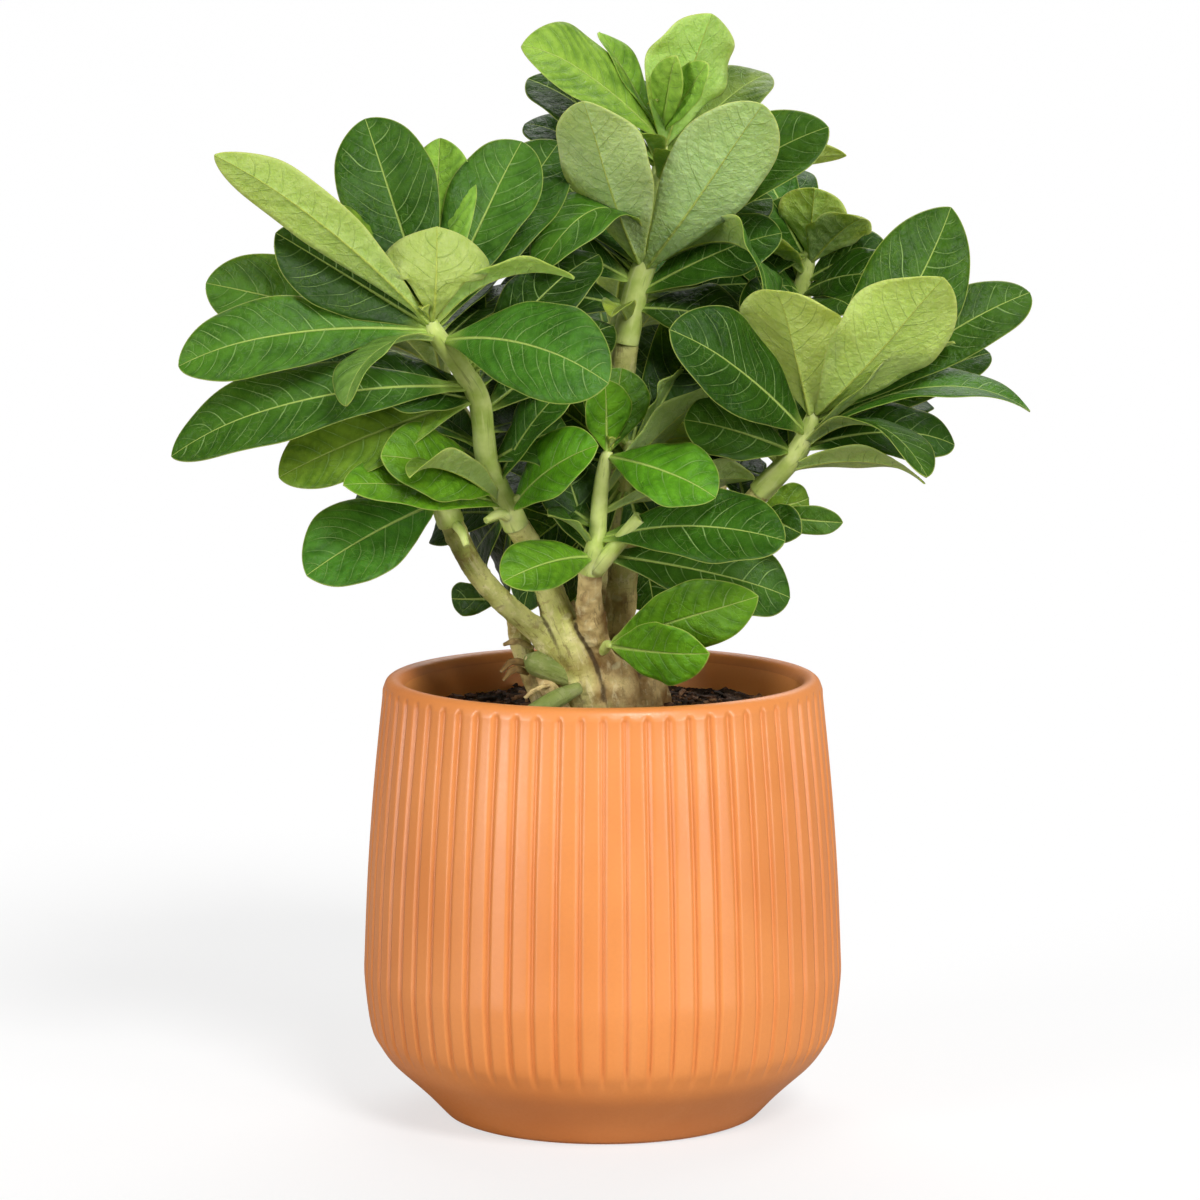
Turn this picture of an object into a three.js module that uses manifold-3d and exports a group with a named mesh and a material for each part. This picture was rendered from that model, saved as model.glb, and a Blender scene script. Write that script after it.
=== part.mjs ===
// A desert rose (adenium) in a round terracotta pot with fine upright grooves.
//
// Millimetres, +Z up. The origin is the centre of the pot's foot, and the front looks along -Y.
// The pot is a thick-walled shell, the soil fills it and has one plain hole, the woody body
// (a swollen base with its branches) stands in that hole, and each leafy shoot is one fused piece
// that is seated on the end of its branch.

import * as THREE from "three";
import Module from "manifold-3d";
import { mergeVertices } from "three/addons/utils/BufferGeometryUtils.js";

const wasm = await Module();
wasm.setup();

// ---- Driving dimensions ----

const GAP = 0.3;                // clearance between pieces that touch
const POT_RADIUS = 90;          // the widest circle
const POT_HEIGHT = 167;
const GROOVE_COUNT = 64;
const GROOVE_HALF_WIDTH = 1.45;
const GROOVE_DEPTH = 1.3;

const SOIL_TOP = 152;           // level of the soil at the pot wall
const SOIL_MOUND = 4;           // how much higher the soil is beside the plant
const SOIL_ROUGHNESS = 1.6;     // height of the lumps
const SOIL_COLUMNS = 32;
const SOIL_ROWS = 4;            // rows of lumps from the hole to the pot wall
const SOIL_SIDE_GAP = 0.5;      // between the soil and the wall of the pot
// The lumps are the mean of three waves, each with its pitch along x and y and its start.
const LUMP_WAVES = [[0.31, 0.17, 0], [-0.12, 0.43, 1.7], [0.71, 0.53, 0.6]];

const HOLE_RADIUS_X = 31;       // the plain hole that the plant stands in
const HOLE_RADIUS_Y = 25;
const HOLE_CENTRE_X = 4;
const HOLE_CENTRE_Y = 4;
const HOLE_FLOOR = 126;
const ROOT_BEVEL = 3;           // the root's upper edge is cut back by this much

const BALL_COLUMNS = 12;
const BALL_ROWS = 6;
const BRANCH_SIDES = 8;
const SHOOT_SIDES = 5;
const BLADE_THICKNESS = 0.9;
// A blade's rings along the midrib, the columns across it, and which columns of quads have their
// other diagonal. Leaves that others hide are made plainer.
const SEEN_BLADE = { stations: [0, 0.25, 0.52, 0.82, 1], columns: [-1, 0, 1], flipped: [3, 4] };
const HIDDEN_BLADE = { stations: [0, 0.35, 0.76, 1], columns: [-1, 1], flipped: [2] };
const SIMPLIFY_BY = 0.2;        // points that bear less than this on a shoot's shape are left out
const PETIOLE_HALF_WIDTH = 1.3;

// The half width of a blade along its length: how steeply it widens and how bluntly it ends.
const RISE = 1.35;
const FALL = 0.62;

// Leaves placed by rule, from the lowest to the highest. The angle is from the stem's direction.
const FILL_ALONG = [0.25, 0.95];
const FILL_STEP = 0.618;        // the share of the stem from one leaf to the next, wrapped round
const FILL_ANGLE = [75.5, 40.5];
const FILL_ANGLE_DRAW = 14;
const FILL_LENGTH = [77, 63];
const FILL_LENGTH_DRAW = 10;
const FILL_WIDTH_SHARE = [0.36, 0.42];
const FILL_ARCH = [4, 10];
const FILL_CUP = 0.12;

// The outer wall of the pot from the foot to the lip, as radius and height. Grooved rings carry
// three points to each groove, and plain rings carry one.
const WALL_PROFILE = [
  { r: 58.5, z: 0, grooved: false, depth: 0 },
  { r: 62.7, z: 1.6, grooved: false, depth: 0 },
  { r: 73.6, z: 12.1, grooved: false, depth: 0 },
  { r: 81.4, z: 21.1, grooved: false, depth: 0 },
  { r: 85.2, z: 27.5, grooved: true, depth: 0 },
  { r: 88, z: 34, grooved: true, depth: 0.8 },
  { r: POT_RADIUS, z: 55, grooved: true, depth: 1 },
  { r: 87.3, z: 112, grooved: true, depth: 1 },
  { r: 82.9, z: 159.5, grooved: true, depth: 1 },
  { r: 82.5, z: 162.8, grooved: true, depth: 0 },
];
const LIP_PROFILE = [
  { r: 81.4, z: 165.6 },
  { r: 79, z: POT_HEIGHT },
  { r: 75.8, z: 165.6 },
  { r: 74.6, z: 162.8 },
];
const INNER_PROFILE = [
  { r: 75.2, z: 140 },
  { r: 80.5, z: 62 },
  { r: 76, z: 32 },
  { r: 54, z: 7 },
];

// ---- The plant's skeleton. Each point is x, y, z and the radius there. ----

const BRANCHES = {
  low_left: [[0, -2, 157, 9], [-5, -6, 163, 8.5], [-14, -12, 174, 7], [-25, -18, 188, 5.4],
    [-37, -22, 200, 5.2], [-48, -26, 214, 5.1], [-57, -30, 231, 5]],
  left: [[-8, 4, 156, 9], [-10, 2, 170, 8.5], [-16, -3, 187, 6.8], [-21, -13, 205, 5.2],
    [-27, -24, 219, 4.8], [-33, -32, 230, 4.6]],
  cut_stub: [[-4, -4, 158, 8], [-10, -4, 177, 6.6], [-17, -4, 197, 5.6]],
  centre: [[5, -8, 158, 9], [0, -13, 174, 6.5], [-4, -20, 191, 4.8], [-5, -26, 202, 4.5],
    [-4, -32, 214, 4.2]],
  right: [[14, 2, 156, 10], [18, -2, 172, 7.5], [29, -8, 194, 5], [44, -14, 219, 4.5],
    [60, -22, 241, 4.2]],
  top: [[3, 10, 155, 9], [5, 14, 178, 6.5], [8, 15, 208, 5.4], [8, 12, 239, 5.1],
    [7, 8, 269, 4.9], [9, 4, 295, 4.7]],
  right_back: [[10, 12, 155, 9], [23, 34, 189, 6], [42, 46, 233, 5], [61, 52, 271, 4.6],
    [74, 52, 295, 4.2]],
  left_back: [[-4, 14, 154, 8], [-16, 42, 188, 5.5], [-38, 58, 232, 5], [-58, 66, 262, 4.5]],
  middle_back: [[1, 14, 156, 8], [-1, 48, 189, 5.2], [-1, 76, 222, 4.7], [1, 90, 248, 4.3]],
};

// Swellings of the base, as x, y, z of the middle and the three half-lengths.
const SWELLINGS = [
  [-8, -3, 160, 13, 11, 17],
  [6, -7, 161, 10, 10, 19],
  [17, 3, 158, 15, 12, 18],
  [3, 14, 160, 16, 10, 16],
];

// ---- The leafy shoots. ----
// Each leaf is: how far along the stem it grows (0 to 1), its tip's x, y and z, its width, how far
// its middle bulges towards its upper face, how far its upper face is turned to the front (-1 to 1),
// how much its edges are raised, and how far its middle bends sideways and up. hidden holds the
// leaves inside the crown, and fill adds leaves by rule between two bearings round the stem.

const SHOOTS = {
  shoot_left: {
    stem: [[-33, -32, 230, 4.5], [-42, -40, 251, 4], [-45, -47, 275, 3.8], [-51, -52, 287, 3.6],
      [-60, -57, 300, 3.2], [-62, -59, 306, 2]],
    leaves: [
      [0.9, -138, -80, 368, 20, -4, -0.75, 0.15, 3],
      [0.88, -99, -50, 348, 26, 0, -0.3, 0.15],
      [0.95, -87, -30, 378, 36, 0, 0.6, 0.15],
      [0.97, -60, -20, 370, 24, 0, 0.5, 0.15],
      [0.93, -29, -25, 369, 30, 0, 0.6, 0.15],
      [0.85, -18, -5, 366, 30, 0, 0.6, 0.15],
      [0.97, -60, -62, 339, 39, -9, -0.9, 0.25],
      [0.93, -10, -72, 323, 20, 9, -0.4, 0.3],
      [0.86, -118, -62, 338, 32, 0, 0.7, 0.15],
      [0.8, -143, -45, 323, 30, 0, 0.7, 0.1],
      [0.84, -151, -78, 291, 32, 4, 0.6, 0.1, 4],
      [0.78, -93, -98, 280, 20, 9, 0.1, 0.3],
      [0.76, 1, -104, 289, 38, 6, 0.5, 0.05, 4],
      [0.47, -154, -72, 259, 31, 14, 0.45, 0.1],
      [0.42, -116, -60, 253, 30, 4, 0.55, 0.15],
      [0.05, -93, -78, 249, 26, 3, 0.5, 0.15],
      [0.1, -79, -72, 259, 31, 3, 0.6, 0.1],
      [0.04, -70, -92, 256, 16, 6, 0, 0.7],
      [0.4, -87, -62, 286, 28, 0, 0.4, 0.1],
      [0.5, -113, -28, 286, 26, 0, 0.3, 0.1],
      [0.02, -2, -62, 261, 28, 5, 0.4, 0.15],
      [0.12, -10, -48, 284, 22, 4, 0.3, 0.15],
    ],
    hidden: [
      [0.55, -2, -30, 330, 30, 3, 0.4, 0.1],
      [0.35, 4, -22, 303, 30, 3, 0.4, 0.1],
      [0.2, -12, -36, 264, 26, 4, 0.5, 0.1],
    ],
    fill: { seed: 3, count: 3, from: -80, to: 20 },
  },
  shoot_low_left: {
    stem: [[-57, -30, 231, 4.8], [-60, -32, 239, 4], [-63, -34, 245, 2.5]],
    leaves: [
      [0.35, -106, -60, 211, 35, 4, 0.6, 0.1],
      [0.5, -92, 4, 236, 26, 4, 0.3, 0.1],
    ],
  },
  shoot_behind_left: {
    stem: [[-35, -20, 198, 2.6], [-36, -14, 198, 2], [-37, -11, 198, 1.3]],
    leaves: [
      [0.7, -59, -6, 196, 13, 2, 0.6, 0.1],
    ],
  },
  shoot_centre: {
    stem: [[-4, -32, 213, 4.2], [-2, -35, 224, 3.2], [-1, -37, 239, 2.8], [1, -38, 252, 2.4],
      [2, -38, 256, 1.6]],
    leaves: [
      [0.85, 1, -46, 283, 19, 0, 0.7, 0.2],
      [0.8, 7, -30, 286, 25, 0, 0.7, 0.15],
      [0.82, 41, -66, 243, 28, 4, 0.6, 0.1],
      [0.22, 66, -70, 227, 32, 5, 0.55, 0.1, 3],
      [0.1, 70, -34, 202, 31, 4, 0.5, 0.1],
      [0.06, -36, -68, 212, 23, 5, 0.5, 0.1],
      [0.12, -20, -42, 233, 22, 3, -0.2, 0.2],
      [0.05, -16, -16, 253, 26, 2, 0.6, 0.1],
    ],
    hidden: [
      [0.3, -40, 6, 246, 28, 3, 0.5, 0.1],
      [0.5, 46, -34, 282, 30, 3, -0.4, 0.1],
      [0.4, 56, -24, 246, 30, 3, -0.4, 0.1],
    ],
  },
  shoot_inner: {
    stem: [[8, 10, 236, 3], [9, 3, 244, 2.8], [10, -2, 251, 2.4], [10, -3, 256, 1.6]],
    leaves: [
      [0.7, 29, 12, 282, 24, 0, -0.5, 0.15],
      [0.6, 50, -18, 249, 28, 10, -0.5, 0.1],
      [0.8, -16, -8, 294, 26, 0, 0.5, 0.15],
      [0.5, 39, 36, 286, 26, 2, 0.4, 0.1],
    ],
    hidden: [
      [0.5, -38, 10, 282, 30, 3, 0.5, 0.1],
      [0.4, 48, 25, 314, 30, 3, 0.5, 0.1],
      [0.45, -42, 16, 250, 28, 3, 0.5, 0.1],
      [0.3, 56, 30, 262, 30, 3, 0.5, 0.1],
      [0.25, -36, 20, 207, 26, 3, 0.5, 0.1],
    ],
  },
  shoot_low_right: {
    stem: [[0, -16, 179, 3], [2, -24, 182, 2.4], [3, -30, 182, 1.6]],
    leaves: [
      [0.7, 56, -58, 203, 28, 4, 0.6, 0.1, 3],
      [0.8, 38, -62, 184, 24, 3, 0.6, 0.1],
    ],
  },
  shoot_right: {
    stem: [[60, -22, 241, 4.2], [68, -26, 250, 4], [72, -28, 255, 3.6], [75, -30, 261, 3.2],
      [77, -31, 267, 2.6], [78, -31, 272, 1.6]],
    leaves: [
      [0.8, 64, -58, 318, 40, 0, -0.5, 0.15],
      [0.85, 122, -72, 324, 42, -4, -0.5, 0.12],
      [0.55, 126, -50, 301, 32, -2, -0.3, 0.15],
      [0.6, 26, -78, 305, 37, 5, 0.6, 0.1],
      [0.3, 118, -66, 250, 26, 16, 0.1, 0.2],
      [0.4, 131, -25, 258, 25, 8, 0.35, 0.1],
      [0.75, 129, -10, 343, 37, 3, 0.7, 0.1, -8],
      [0.75, 159, -20, 313, 25, 4, 0.6, 0.1],
      [0.5, 159, -30, 271, 18, 17, 0, 0.2],
      [0.45, 142, 5, 284, 24, 6, 0.4, 0.1],
    ],
    hidden: [
      [0.35, 30, -40, 268, 26, 3, 0.5, 0.1],
      [0.5, 58, 0, 318, 28, 3, 0.5, 0.1],
    ],
    fill: { seed: 6, count: 3, from: -30, to: 40 },
  },
  shoot_right_low: {
    stem: [[52, -20, 232, 3], [56, -27, 232, 2.2], [58, -31, 232, 1.4]],
    leaves: [
      [0.8, 89, -34, 229, 11, 4, 0.5, 0.1],
      [0.7, 73, -42, 226, 15, 3, 0.4, 0.1],
    ],
  },
  shoot_top: {
    stem: [[9, 4, 295, 4.7], [13, 3, 314, 4.4], [17, 2, 326, 4], [20, 4, 346, 3.2],
      [22, 6, 367, 2.2], [22, 6, 372, 1.5]],
    leaves: [
      [0.45, -6, -48, 386, 39, -4, -0.6, 0.15],
      [0.42, 58, -48, 385, 37, -4, -0.6, 0.15],
      [0.75, 40, -10, 415, 36, 0, -0.3, 0.15],
      [0.8, -29, -20, 408, 30, 3, 0.5, 0.15],
      [0.78, -1, -30, 399, 26, 2, 0.4, 0.15],
      [0.85, 1, 10, 402, 16, 0, 0.2, 0.2],
      [0.92, 36, -6, 397, 13, 0, 0.3, 0.2],
      [0.94, 29, 0, 398, 12, 0, 0.3, 0.2],
      [0.7, 61, 20, 392, 28, 3, 0.5, 0.15],
      [0.4, 84, -20, 375, 30, 3, 0.6, 0.1],
      [0.7, -24, 25, 389, 28, 3, 0.5, 0.1],
      [0.6, 92, 26, 362, 16, 4, -0.3, 0.15],
      [0.3, -25, -40, 323, 30, 24, -0.1, 0.1],
      [0.32, 61, -36, 311, 34, 20, -0.45, 0.1],
    ],
    hidden: [
      [0.2, -52, -5, 345, 32, 3, 0.5, 0.1],
      [0.15, 66, -8, 335, 30, 3, 0.5, 0.1],
      [0.1, -40, 5, 312, 28, 3, 0.5, 0.1],
      [0.1, 52, -5, 300, 28, 3, 0.5, 0.1],
    ],
    fill: { seed: 7, count: 3, from: -80, to: 0 },
  },
  shoot_right_back: {
    stem: [[74, 52, 295, 4.2], [76, 50, 307, 3.6], [78, 48, 318, 2.8], [79, 47, 325, 1.8]],
    leaves: [
      [0.7, 65, 40, 343, 26, 0, 0.6, 0.1],
      [0.8, 80, 30, 349, 26, 0, -0.4, 0.15],
      [0.65, 97, 25, 338, 25, 2, -0.3, 0.1],
      [0.45, 109, 40, 324, 26, 4, 0.5, 0.1],
      [0.3, 109, 20, 316, 26, 5, 0.5, 0.1],
      [0.55, 49, 10, 331, 22, 3, -0.3, 0.1],
    ],
    fill: { seed: 8, count: 3, from: -70, to: -10 },
  },
  shoot_left_back: {
    stem: [[-58, 66, 262, 4.5], [-66, 70, 282, 3.8], [-72, 72, 302, 2.2]],
    leaves: [],
    fill: { seed: 12, count: 9, from: -200, to: 50 },
  },
  shoot_middle_back: {
    stem: [[1, 90, 248, 4.3], [2, 94, 270, 3.7], [4, 96, 292, 2.2]],
    leaves: [],
    fill: { seed: 10, count: 9, from: -50, to: 190 },
  },
};

const COLOURS = {
  terracotta: 0xd9773f,
  soil: 0x2b1a10,
  bark: 0xa08a62,
  leaf: 0x3f7a2c,
};

// ---- Solids ----

// Joins closed loops of points into one closed solid. A loop may have three times as many points
// as its neighbour. Columns in flipped have their quads split along the other diagonal.
function ringSolid(rings, flipped = []) {
  const positions = [];
  const starts = [];
  for (const ring of rings) {
    starts.push(positions.length / 3);
    for (const point of ring) positions.push(point.x, point.y, point.z);
  }
  const indices = [];
  for (let k = 0; k + 1 < rings.length; k += 1) {
    joinRings(indices, starts[k], rings[k].length, starts[k + 1], rings[k + 1].length, flipped);
  }
  const last = rings.length - 1;
  for (let j = 1; j + 1 < rings[0].length; j += 1) {
    indices.push(0, j + 1, j);
  }
  for (let j = 1; j + 1 < rings[last].length; j += 1) {
    indices.push(starts[last], starts[last] + j, starts[last] + j + 1);
  }
  const geometry = new THREE.BufferGeometry();
  geometry.setAttribute("position", new THREE.Float32BufferAttribute(positions, 3));
  geometry.setIndex(indices);
  if (signedVolume(geometry) < 0) {
    geometry.setIndex([...geometry.index.array].reverse());
  }
  return geometry;
}

function joinRings(indices, startA, countA, startB, countB, flipped) {
  const columns = Math.min(countA, countB);
  const stepA = countA / columns;
  const stepB = countB / columns;
  for (let j = 0; j < columns; j += 1) {
    const a = [];
    const b = [];
    for (let i = 0; i <= stepA; i += 1) a.push(startA + ((j * stepA + i) % countA));
    for (let i = 0; i <= stepB; i += 1) b.push(startB + ((j * stepB + i) % countB));
    if (flipped.includes(j)) {
      indices.push(a[0], a[1], b[0], a[1], b[1], b[0]);
      continue;
    }
    for (let i = 0; i < stepA; i += 1) indices.push(a[i], a[i + 1], b[b.length - 1]);
    for (let i = 0; i < stepB; i += 1) indices.push(a[0], b[i + 1], b[i]);
  }
}

function signedVolume(geometry) {
  const position = geometry.attributes.position;
  const index = geometry.index.array;
  const a = new THREE.Vector3();
  const b = new THREE.Vector3();
  const c = new THREE.Vector3();
  let volume = 0;
  for (let i = 0; i < index.length; i += 3) {
    a.fromBufferAttribute(position, index[i]);
    b.fromBufferAttribute(position, index[i + 1]);
    c.fromBufferAttribute(position, index[i + 2]);
    volume += a.dot(b.cross(c)) / 6;
  }
  return volume;
}

function circle(radius, z, count, turn = 0) {
  const points = [];
  for (let j = 0; j < count; j += 1) {
    const angle = (2 * Math.PI * j) / count + turn;
    points.push(new THREE.Vector3(radius * Math.cos(angle), radius * Math.sin(angle), z));
  }
  return points;
}

function toSolid(geometry) {
  const merged = mergeVertices(geometry, 1e-5);
  return new wasm.Manifold(new wasm.Mesh({
    numProp: 3,
    vertProperties: new Float32Array(merged.attributes.position.array),
    triVerts: new Uint32Array(merged.index.array),
  }));
}

function toGeometry(solid) {
  const mesh = solid.getMesh();
  const geometry = new THREE.BufferGeometry();
  geometry.setAttribute("position", new THREE.BufferAttribute(mesh.vertProperties, 3));
  geometry.setIndex(new THREE.BufferAttribute(mesh.triVerts, 1));
  return geometry;
}

function fuse(solids) {
  return solids.reduce((whole, piece) => whole.add(piece));
}

// A cut can leave a loose scrap behind it, so only the largest body stays.
function largestBody(solid) {
  const bodies = solid.decompose();
  return bodies.reduce((best, body) => (body.volume() > best.volume() ? body : best));
}

// ---- The pot ----

function groovedRing({ r, z, depth }) {
  const points = [];
  const pitch = (2 * Math.PI) / GROOVE_COUNT;
  const halfAngle = GROOVE_HALF_WIDTH / POT_RADIUS;
  for (let j = 0; j < GROOVE_COUNT; j += 1) {
    const middle = j * pitch;
    const sunk = r - GROOVE_DEPTH * depth;
    for (const [angle, radius] of [[-halfAngle, r], [0, sunk], [halfAngle, r]]) {
      points.push(new THREE.Vector3(
        radius * Math.cos(middle + angle), radius * Math.sin(middle + angle), z));
    }
  }
  return points;
}

function makePot() {
  const turn = -GROOVE_HALF_WIDTH / POT_RADIUS;
  const rings = WALL_PROFILE.map((row) => (
    row.grooved ? groovedRing(row) : circle(row.r, row.z, GROOVE_COUNT, turn)));
  for (const row of [...LIP_PROFILE, ...INNER_PROFILE]) {
    rings.push(circle(row.r, row.z, GROOVE_COUNT, turn));
  }
  return ringSolid(rings);
}

// ---- The soil ----

function innerRadius(z) {
  const rows = [LIP_PROFILE[LIP_PROFILE.length - 1], ...INNER_PROFILE];
  for (let k = 0; k + 1 < rows.length; k += 1) {
    if (z <= rows[k].z && z >= rows[k + 1].z) {
      const part = (rows[k].z - z) / (rows[k].z - rows[k + 1].z);
      return rows[k].r + (rows[k + 1].r - rows[k].r) * part;
    }
  }
  return rows[rows.length - 1].r;
}

function lump(x, y) {
  const heights = LUMP_WAVES.map(([alongX, alongY, start]) => (
    Math.sin(x * alongX + y * alongY + start)));
  return heights.reduce((sum, height) => sum + height) / heights.length;
}

function holeRing(z, grow = 0) {
  return circle(1, z, SOIL_COLUMNS).map((point) => new THREE.Vector3(
    HOLE_CENTRE_X + point.x * (HOLE_RADIUS_X + grow),
    HOLE_CENTRE_Y + point.y * (HOLE_RADIUS_Y + grow), z));
}

function makeSoil() {
  const hole = holeRing(0, GAP);
  const wall = circle(innerRadius(SOIL_TOP) - SOIL_SIDE_GAP, 0, SOIL_COLUMNS);
  const rings = [holeRing(HOLE_FLOOR - GAP, GAP)];
  for (let row = 0; row <= SOIL_ROWS; row += 1) {
    const part = row / SOIL_ROWS;
    rings.push(hole.map((point, j) => {
      const spot = point.clone().lerp(wall[j], part);
      const rough = row === SOIL_ROWS ? 0 : SOIL_ROUGHNESS * lump(spot.x, spot.y);
      spot.z = SOIL_TOP + SOIL_MOUND * (1 - part) + rough;
      return spot;
    }));
  }
  const floorRow = INNER_PROFILE[INNER_PROFILE.length - 1];
  for (const { r, z } of INNER_PROFILE.slice(0, -1)) {
    rings.push(circle(r - SOIL_SIDE_GAP, z, SOIL_COLUMNS));
  }
  rings.push(circle(floorRow.r - SOIL_SIDE_GAP - GAP, floorRow.z + GAP, SOIL_COLUMNS));
  return ringSolid(rings);
}

// ---- Stems ----

function stemCurve(points) {
  const places = points.map(([x, y, z]) => new THREE.Vector3(x, y, z));
  return new THREE.CatmullRomCurve3(places, false, "catmullrom", 0.5);
}

// A tube with a ring at each point. grow widens it all over.
function stemSolid(points, sides, grow = 0) {
  const curve = stemCurve(points);
  const last = points.length - 1;
  const front = new THREE.Vector3(0, -1, 0);
  const rings = points.map(([x, y, z, radius], i) => {
    const tangent = curve.getTangent(i / last);
    const across = new THREE.Vector3().crossVectors(tangent, front).normalize();
    const other = new THREE.Vector3().crossVectors(tangent, across);
    const centre = new THREE.Vector3(x, y, z);
    if (i === 0) centre.addScaledVector(tangent, -grow);
    if (i === last) centre.addScaledVector(tangent, grow);
    return circle(radius + grow, 0, sides).map((point) => centre.clone()
      .addScaledVector(across, point.x)
      .addScaledVector(other, point.y));
  });
  return toSolid(ringSolid(rings));
}

function swellingSolid([x, y, z, a, b, c], grow) {
  const ball = new THREE.SphereGeometry(1, BALL_COLUMNS, BALL_ROWS);
  ball.scale(a + grow, b + grow, c + grow);
  ball.translate(x, y, z);
  ball.deleteAttribute("normal");
  ball.deleteAttribute("uv");
  return toSolid(ball);
}

// The woody body: the plain root that stands in the hole, the swollen base and the branches.
function woodyBody(grow = 0) {
  const root = toSolid(ringSolid([
    holeRing(HOLE_FLOOR, grow),
    holeRing(SOIL_TOP - ROOT_BEVEL, grow),
    holeRing(SOIL_TOP, grow - ROOT_BEVEL),
  ]));
  const swellings = SWELLINGS.map((row) => swellingSolid(row, grow));
  const branches = Object.values(BRANCHES).map((points) => stemSolid(points, BRANCH_SIDES, grow));
  return fuse([root, ...swellings, ...branches]);
}

// ---- Leaves ----

// The blade's half width as a share of its greatest: narrow at the stem, widest past the middle.
function outline(t) {
  const widest = RISE / (RISE + FALL);
  return (t / widest) ** RISE * ((1 - t) / (1 - widest)) ** FALL;
}

function placeLeaf(stem, row) {
  const [along, x, y, z, width, arch, show, cup, bow = 0] = row;
  const curve = stemCurve(stem);
  const base = curve.getPoint(along);
  const axis = curve.getTangent(along);
  const chord = new THREE.Vector3(x, y, z).sub(base);
  const heading = chord.clone().normalize();
  const natural = axis.clone().addScaledVector(heading, -axis.dot(heading)).normalize();
  const front = new THREE.Vector3(0, -1, 0);
  const upper = natural.multiplyScalar(1 - Math.abs(show)).addScaledVector(front, show);
  upper.addScaledVector(heading, -upper.dot(heading)).normalize();
  const across = new THREE.Vector3().crossVectors(heading, upper);
  const bend = upper.multiplyScalar(arch).addScaledVector(across, across.z > 0 ? bow : -bow);
  return { base, chord, bend, across, width, cup };
}

// A point of the blade: t along the midrib, u across from -1 to 1, lift above the middle surface.
function bladePoint(leaf, t, u, lift, grow) {
  const half = Math.max(PETIOLE_HALF_WIDTH, (leaf.width / 2) * outline(t)) + grow;
  const slope = leaf.chord.clone().addScaledVector(leaf.bend, 4 - 8 * t);
  const normal = new THREE.Vector3().crossVectors(leaf.across, slope).normalize();
  return leaf.base.clone()
    .addScaledVector(leaf.chord, t)
    .addScaledVector(leaf.bend, 4 * t * (1 - t))
    .addScaledVector(leaf.across, u * half)
    .addScaledVector(normal, leaf.cup * half * Math.abs(u) + lift);
}

function leafSolid(leaf, { stations, columns, flipped }, grow = 0) {
  const lift = BLADE_THICKNESS / 2 + grow;
  const upper = columns.map((u) => [u, lift]);
  const lower = columns.map((u) => [-u, -lift]);
  const rings = stations.map((t) => [...upper, ...lower].map(([u, side]) => (
    bladePoint(leaf, t, u, side, grow))));
  return toSolid(ringSolid(rings, flipped));
}

// A seeded draw between 0 and 1.
function makeDraw(seed) {
  let state = seed;
  return () => {
    state = (Math.imul(state, 1664525) + 1013904223) >>> 0;
    return state / 4294967296;
  };
}

function between([low, high], share) {
  return low + (high - low) * share;
}

// Leaves placed by rule round the stem from one bearing to the other, where 0 points to the back
// and 90 to the right. The lower ones are longer and spread wider than the upper ones.
function fillLeaves(stem, { seed, count, from, to }) {
  const draw = makeDraw(seed);
  const curve = stemCurve(stem);
  const rows = [];
  for (let k = 0; k < count; k += 1) {
    const height = (k * FILL_STEP) % 1;
    const along = between(FILL_ALONG, height);
    const sector = (k + between([0.2, 0.8], draw())) / count;
    const bearing = THREE.MathUtils.degToRad(between([from, to], sector));
    const angle = THREE.MathUtils.degToRad(
      between(FILL_ANGLE, height) + FILL_ANGLE_DRAW * (draw() - 0.5));
    const length = between(FILL_LENGTH, height) + FILL_LENGTH_DRAW * (draw() - 0.5);
    const axis = curve.getTangent(along);
    const back = new THREE.Vector3(0, 1, 0).addScaledVector(axis, -axis.y).normalize();
    const right = new THREE.Vector3().crossVectors(back, axis);
    const tip = curve.getPoint(along)
      .addScaledVector(axis, length * Math.cos(angle))
      .addScaledVector(back, length * Math.sin(angle) * Math.cos(bearing))
      .addScaledVector(right, length * Math.sin(angle) * Math.sin(bearing));
    const width = length * between(FILL_WIDTH_SHARE, draw());
    rows.push([along, tip.x, tip.y, tip.z, width, between(FILL_ARCH, draw()), 0, FILL_CUP]);
  }
  return rows;
}

function shootSolid({ stem, leaves, hidden = [], fill }, grow = 0) {
  const inner = fill ? [...hidden, ...fillLeaves(stem, fill)] : hidden;
  const blades = [
    ...leaves.map((row) => leafSolid(placeLeaf(stem, row), SEEN_BLADE, grow)),
    ...inner.map((row) => leafSolid(placeLeaf(stem, row), HIDDEN_BLADE, grow)),
  ];
  return fuse([stemSolid(stem, SHOOT_SIDES, grow), ...blades]);
}

// ---- The assembly ----

function addPiece(group, name, geometry, colour, roughness) {
  const material = new THREE.MeshStandardMaterial({ color: colour, roughness, metalness: 0 });
  const mesh = new THREE.Mesh(geometry, material);
  mesh.name = name;
  group.add(mesh);
}

function buildPlant() {
  const group = new THREE.Group();
  addPiece(group, "pot", makePot(), COLOURS.terracotta, 0.75);
  addPiece(group, "soil", makeSoil(), COLOURS.soil, 0.95);
  addPiece(group, "woody_body", toGeometry(largestBody(woodyBody())), COLOURS.bark, 0.8);

  // Every shoot is cut back from the wood and from the shoots before it by the same clearance.
  let taken = woodyBody(GAP);
  for (const [name, shoot] of Object.entries(SHOOTS)) {
    const solid = largestBody(shootSolid(shoot).subtract(taken).simplify(SIMPLIFY_BY));
    addPiece(group, name, toGeometry(solid), COLOURS.leaf, 0.45);
    taken = taken.add(shootSolid(shoot, GAP));
  }
  return group;
}

export default buildPlant();
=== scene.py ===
# %% [markdown]
# # A potted desert rose
#
# This lesson dresses a desert rose (adenium) in a grooved terracotta pot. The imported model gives
# each piece's place, so the finished pieces are built around it. Lengths are written in
# millimetres and turned into metres as they are used.

import math

import bmesh
import bpy
from mathutils import Matrix, Vector, kdtree, noise


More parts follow.
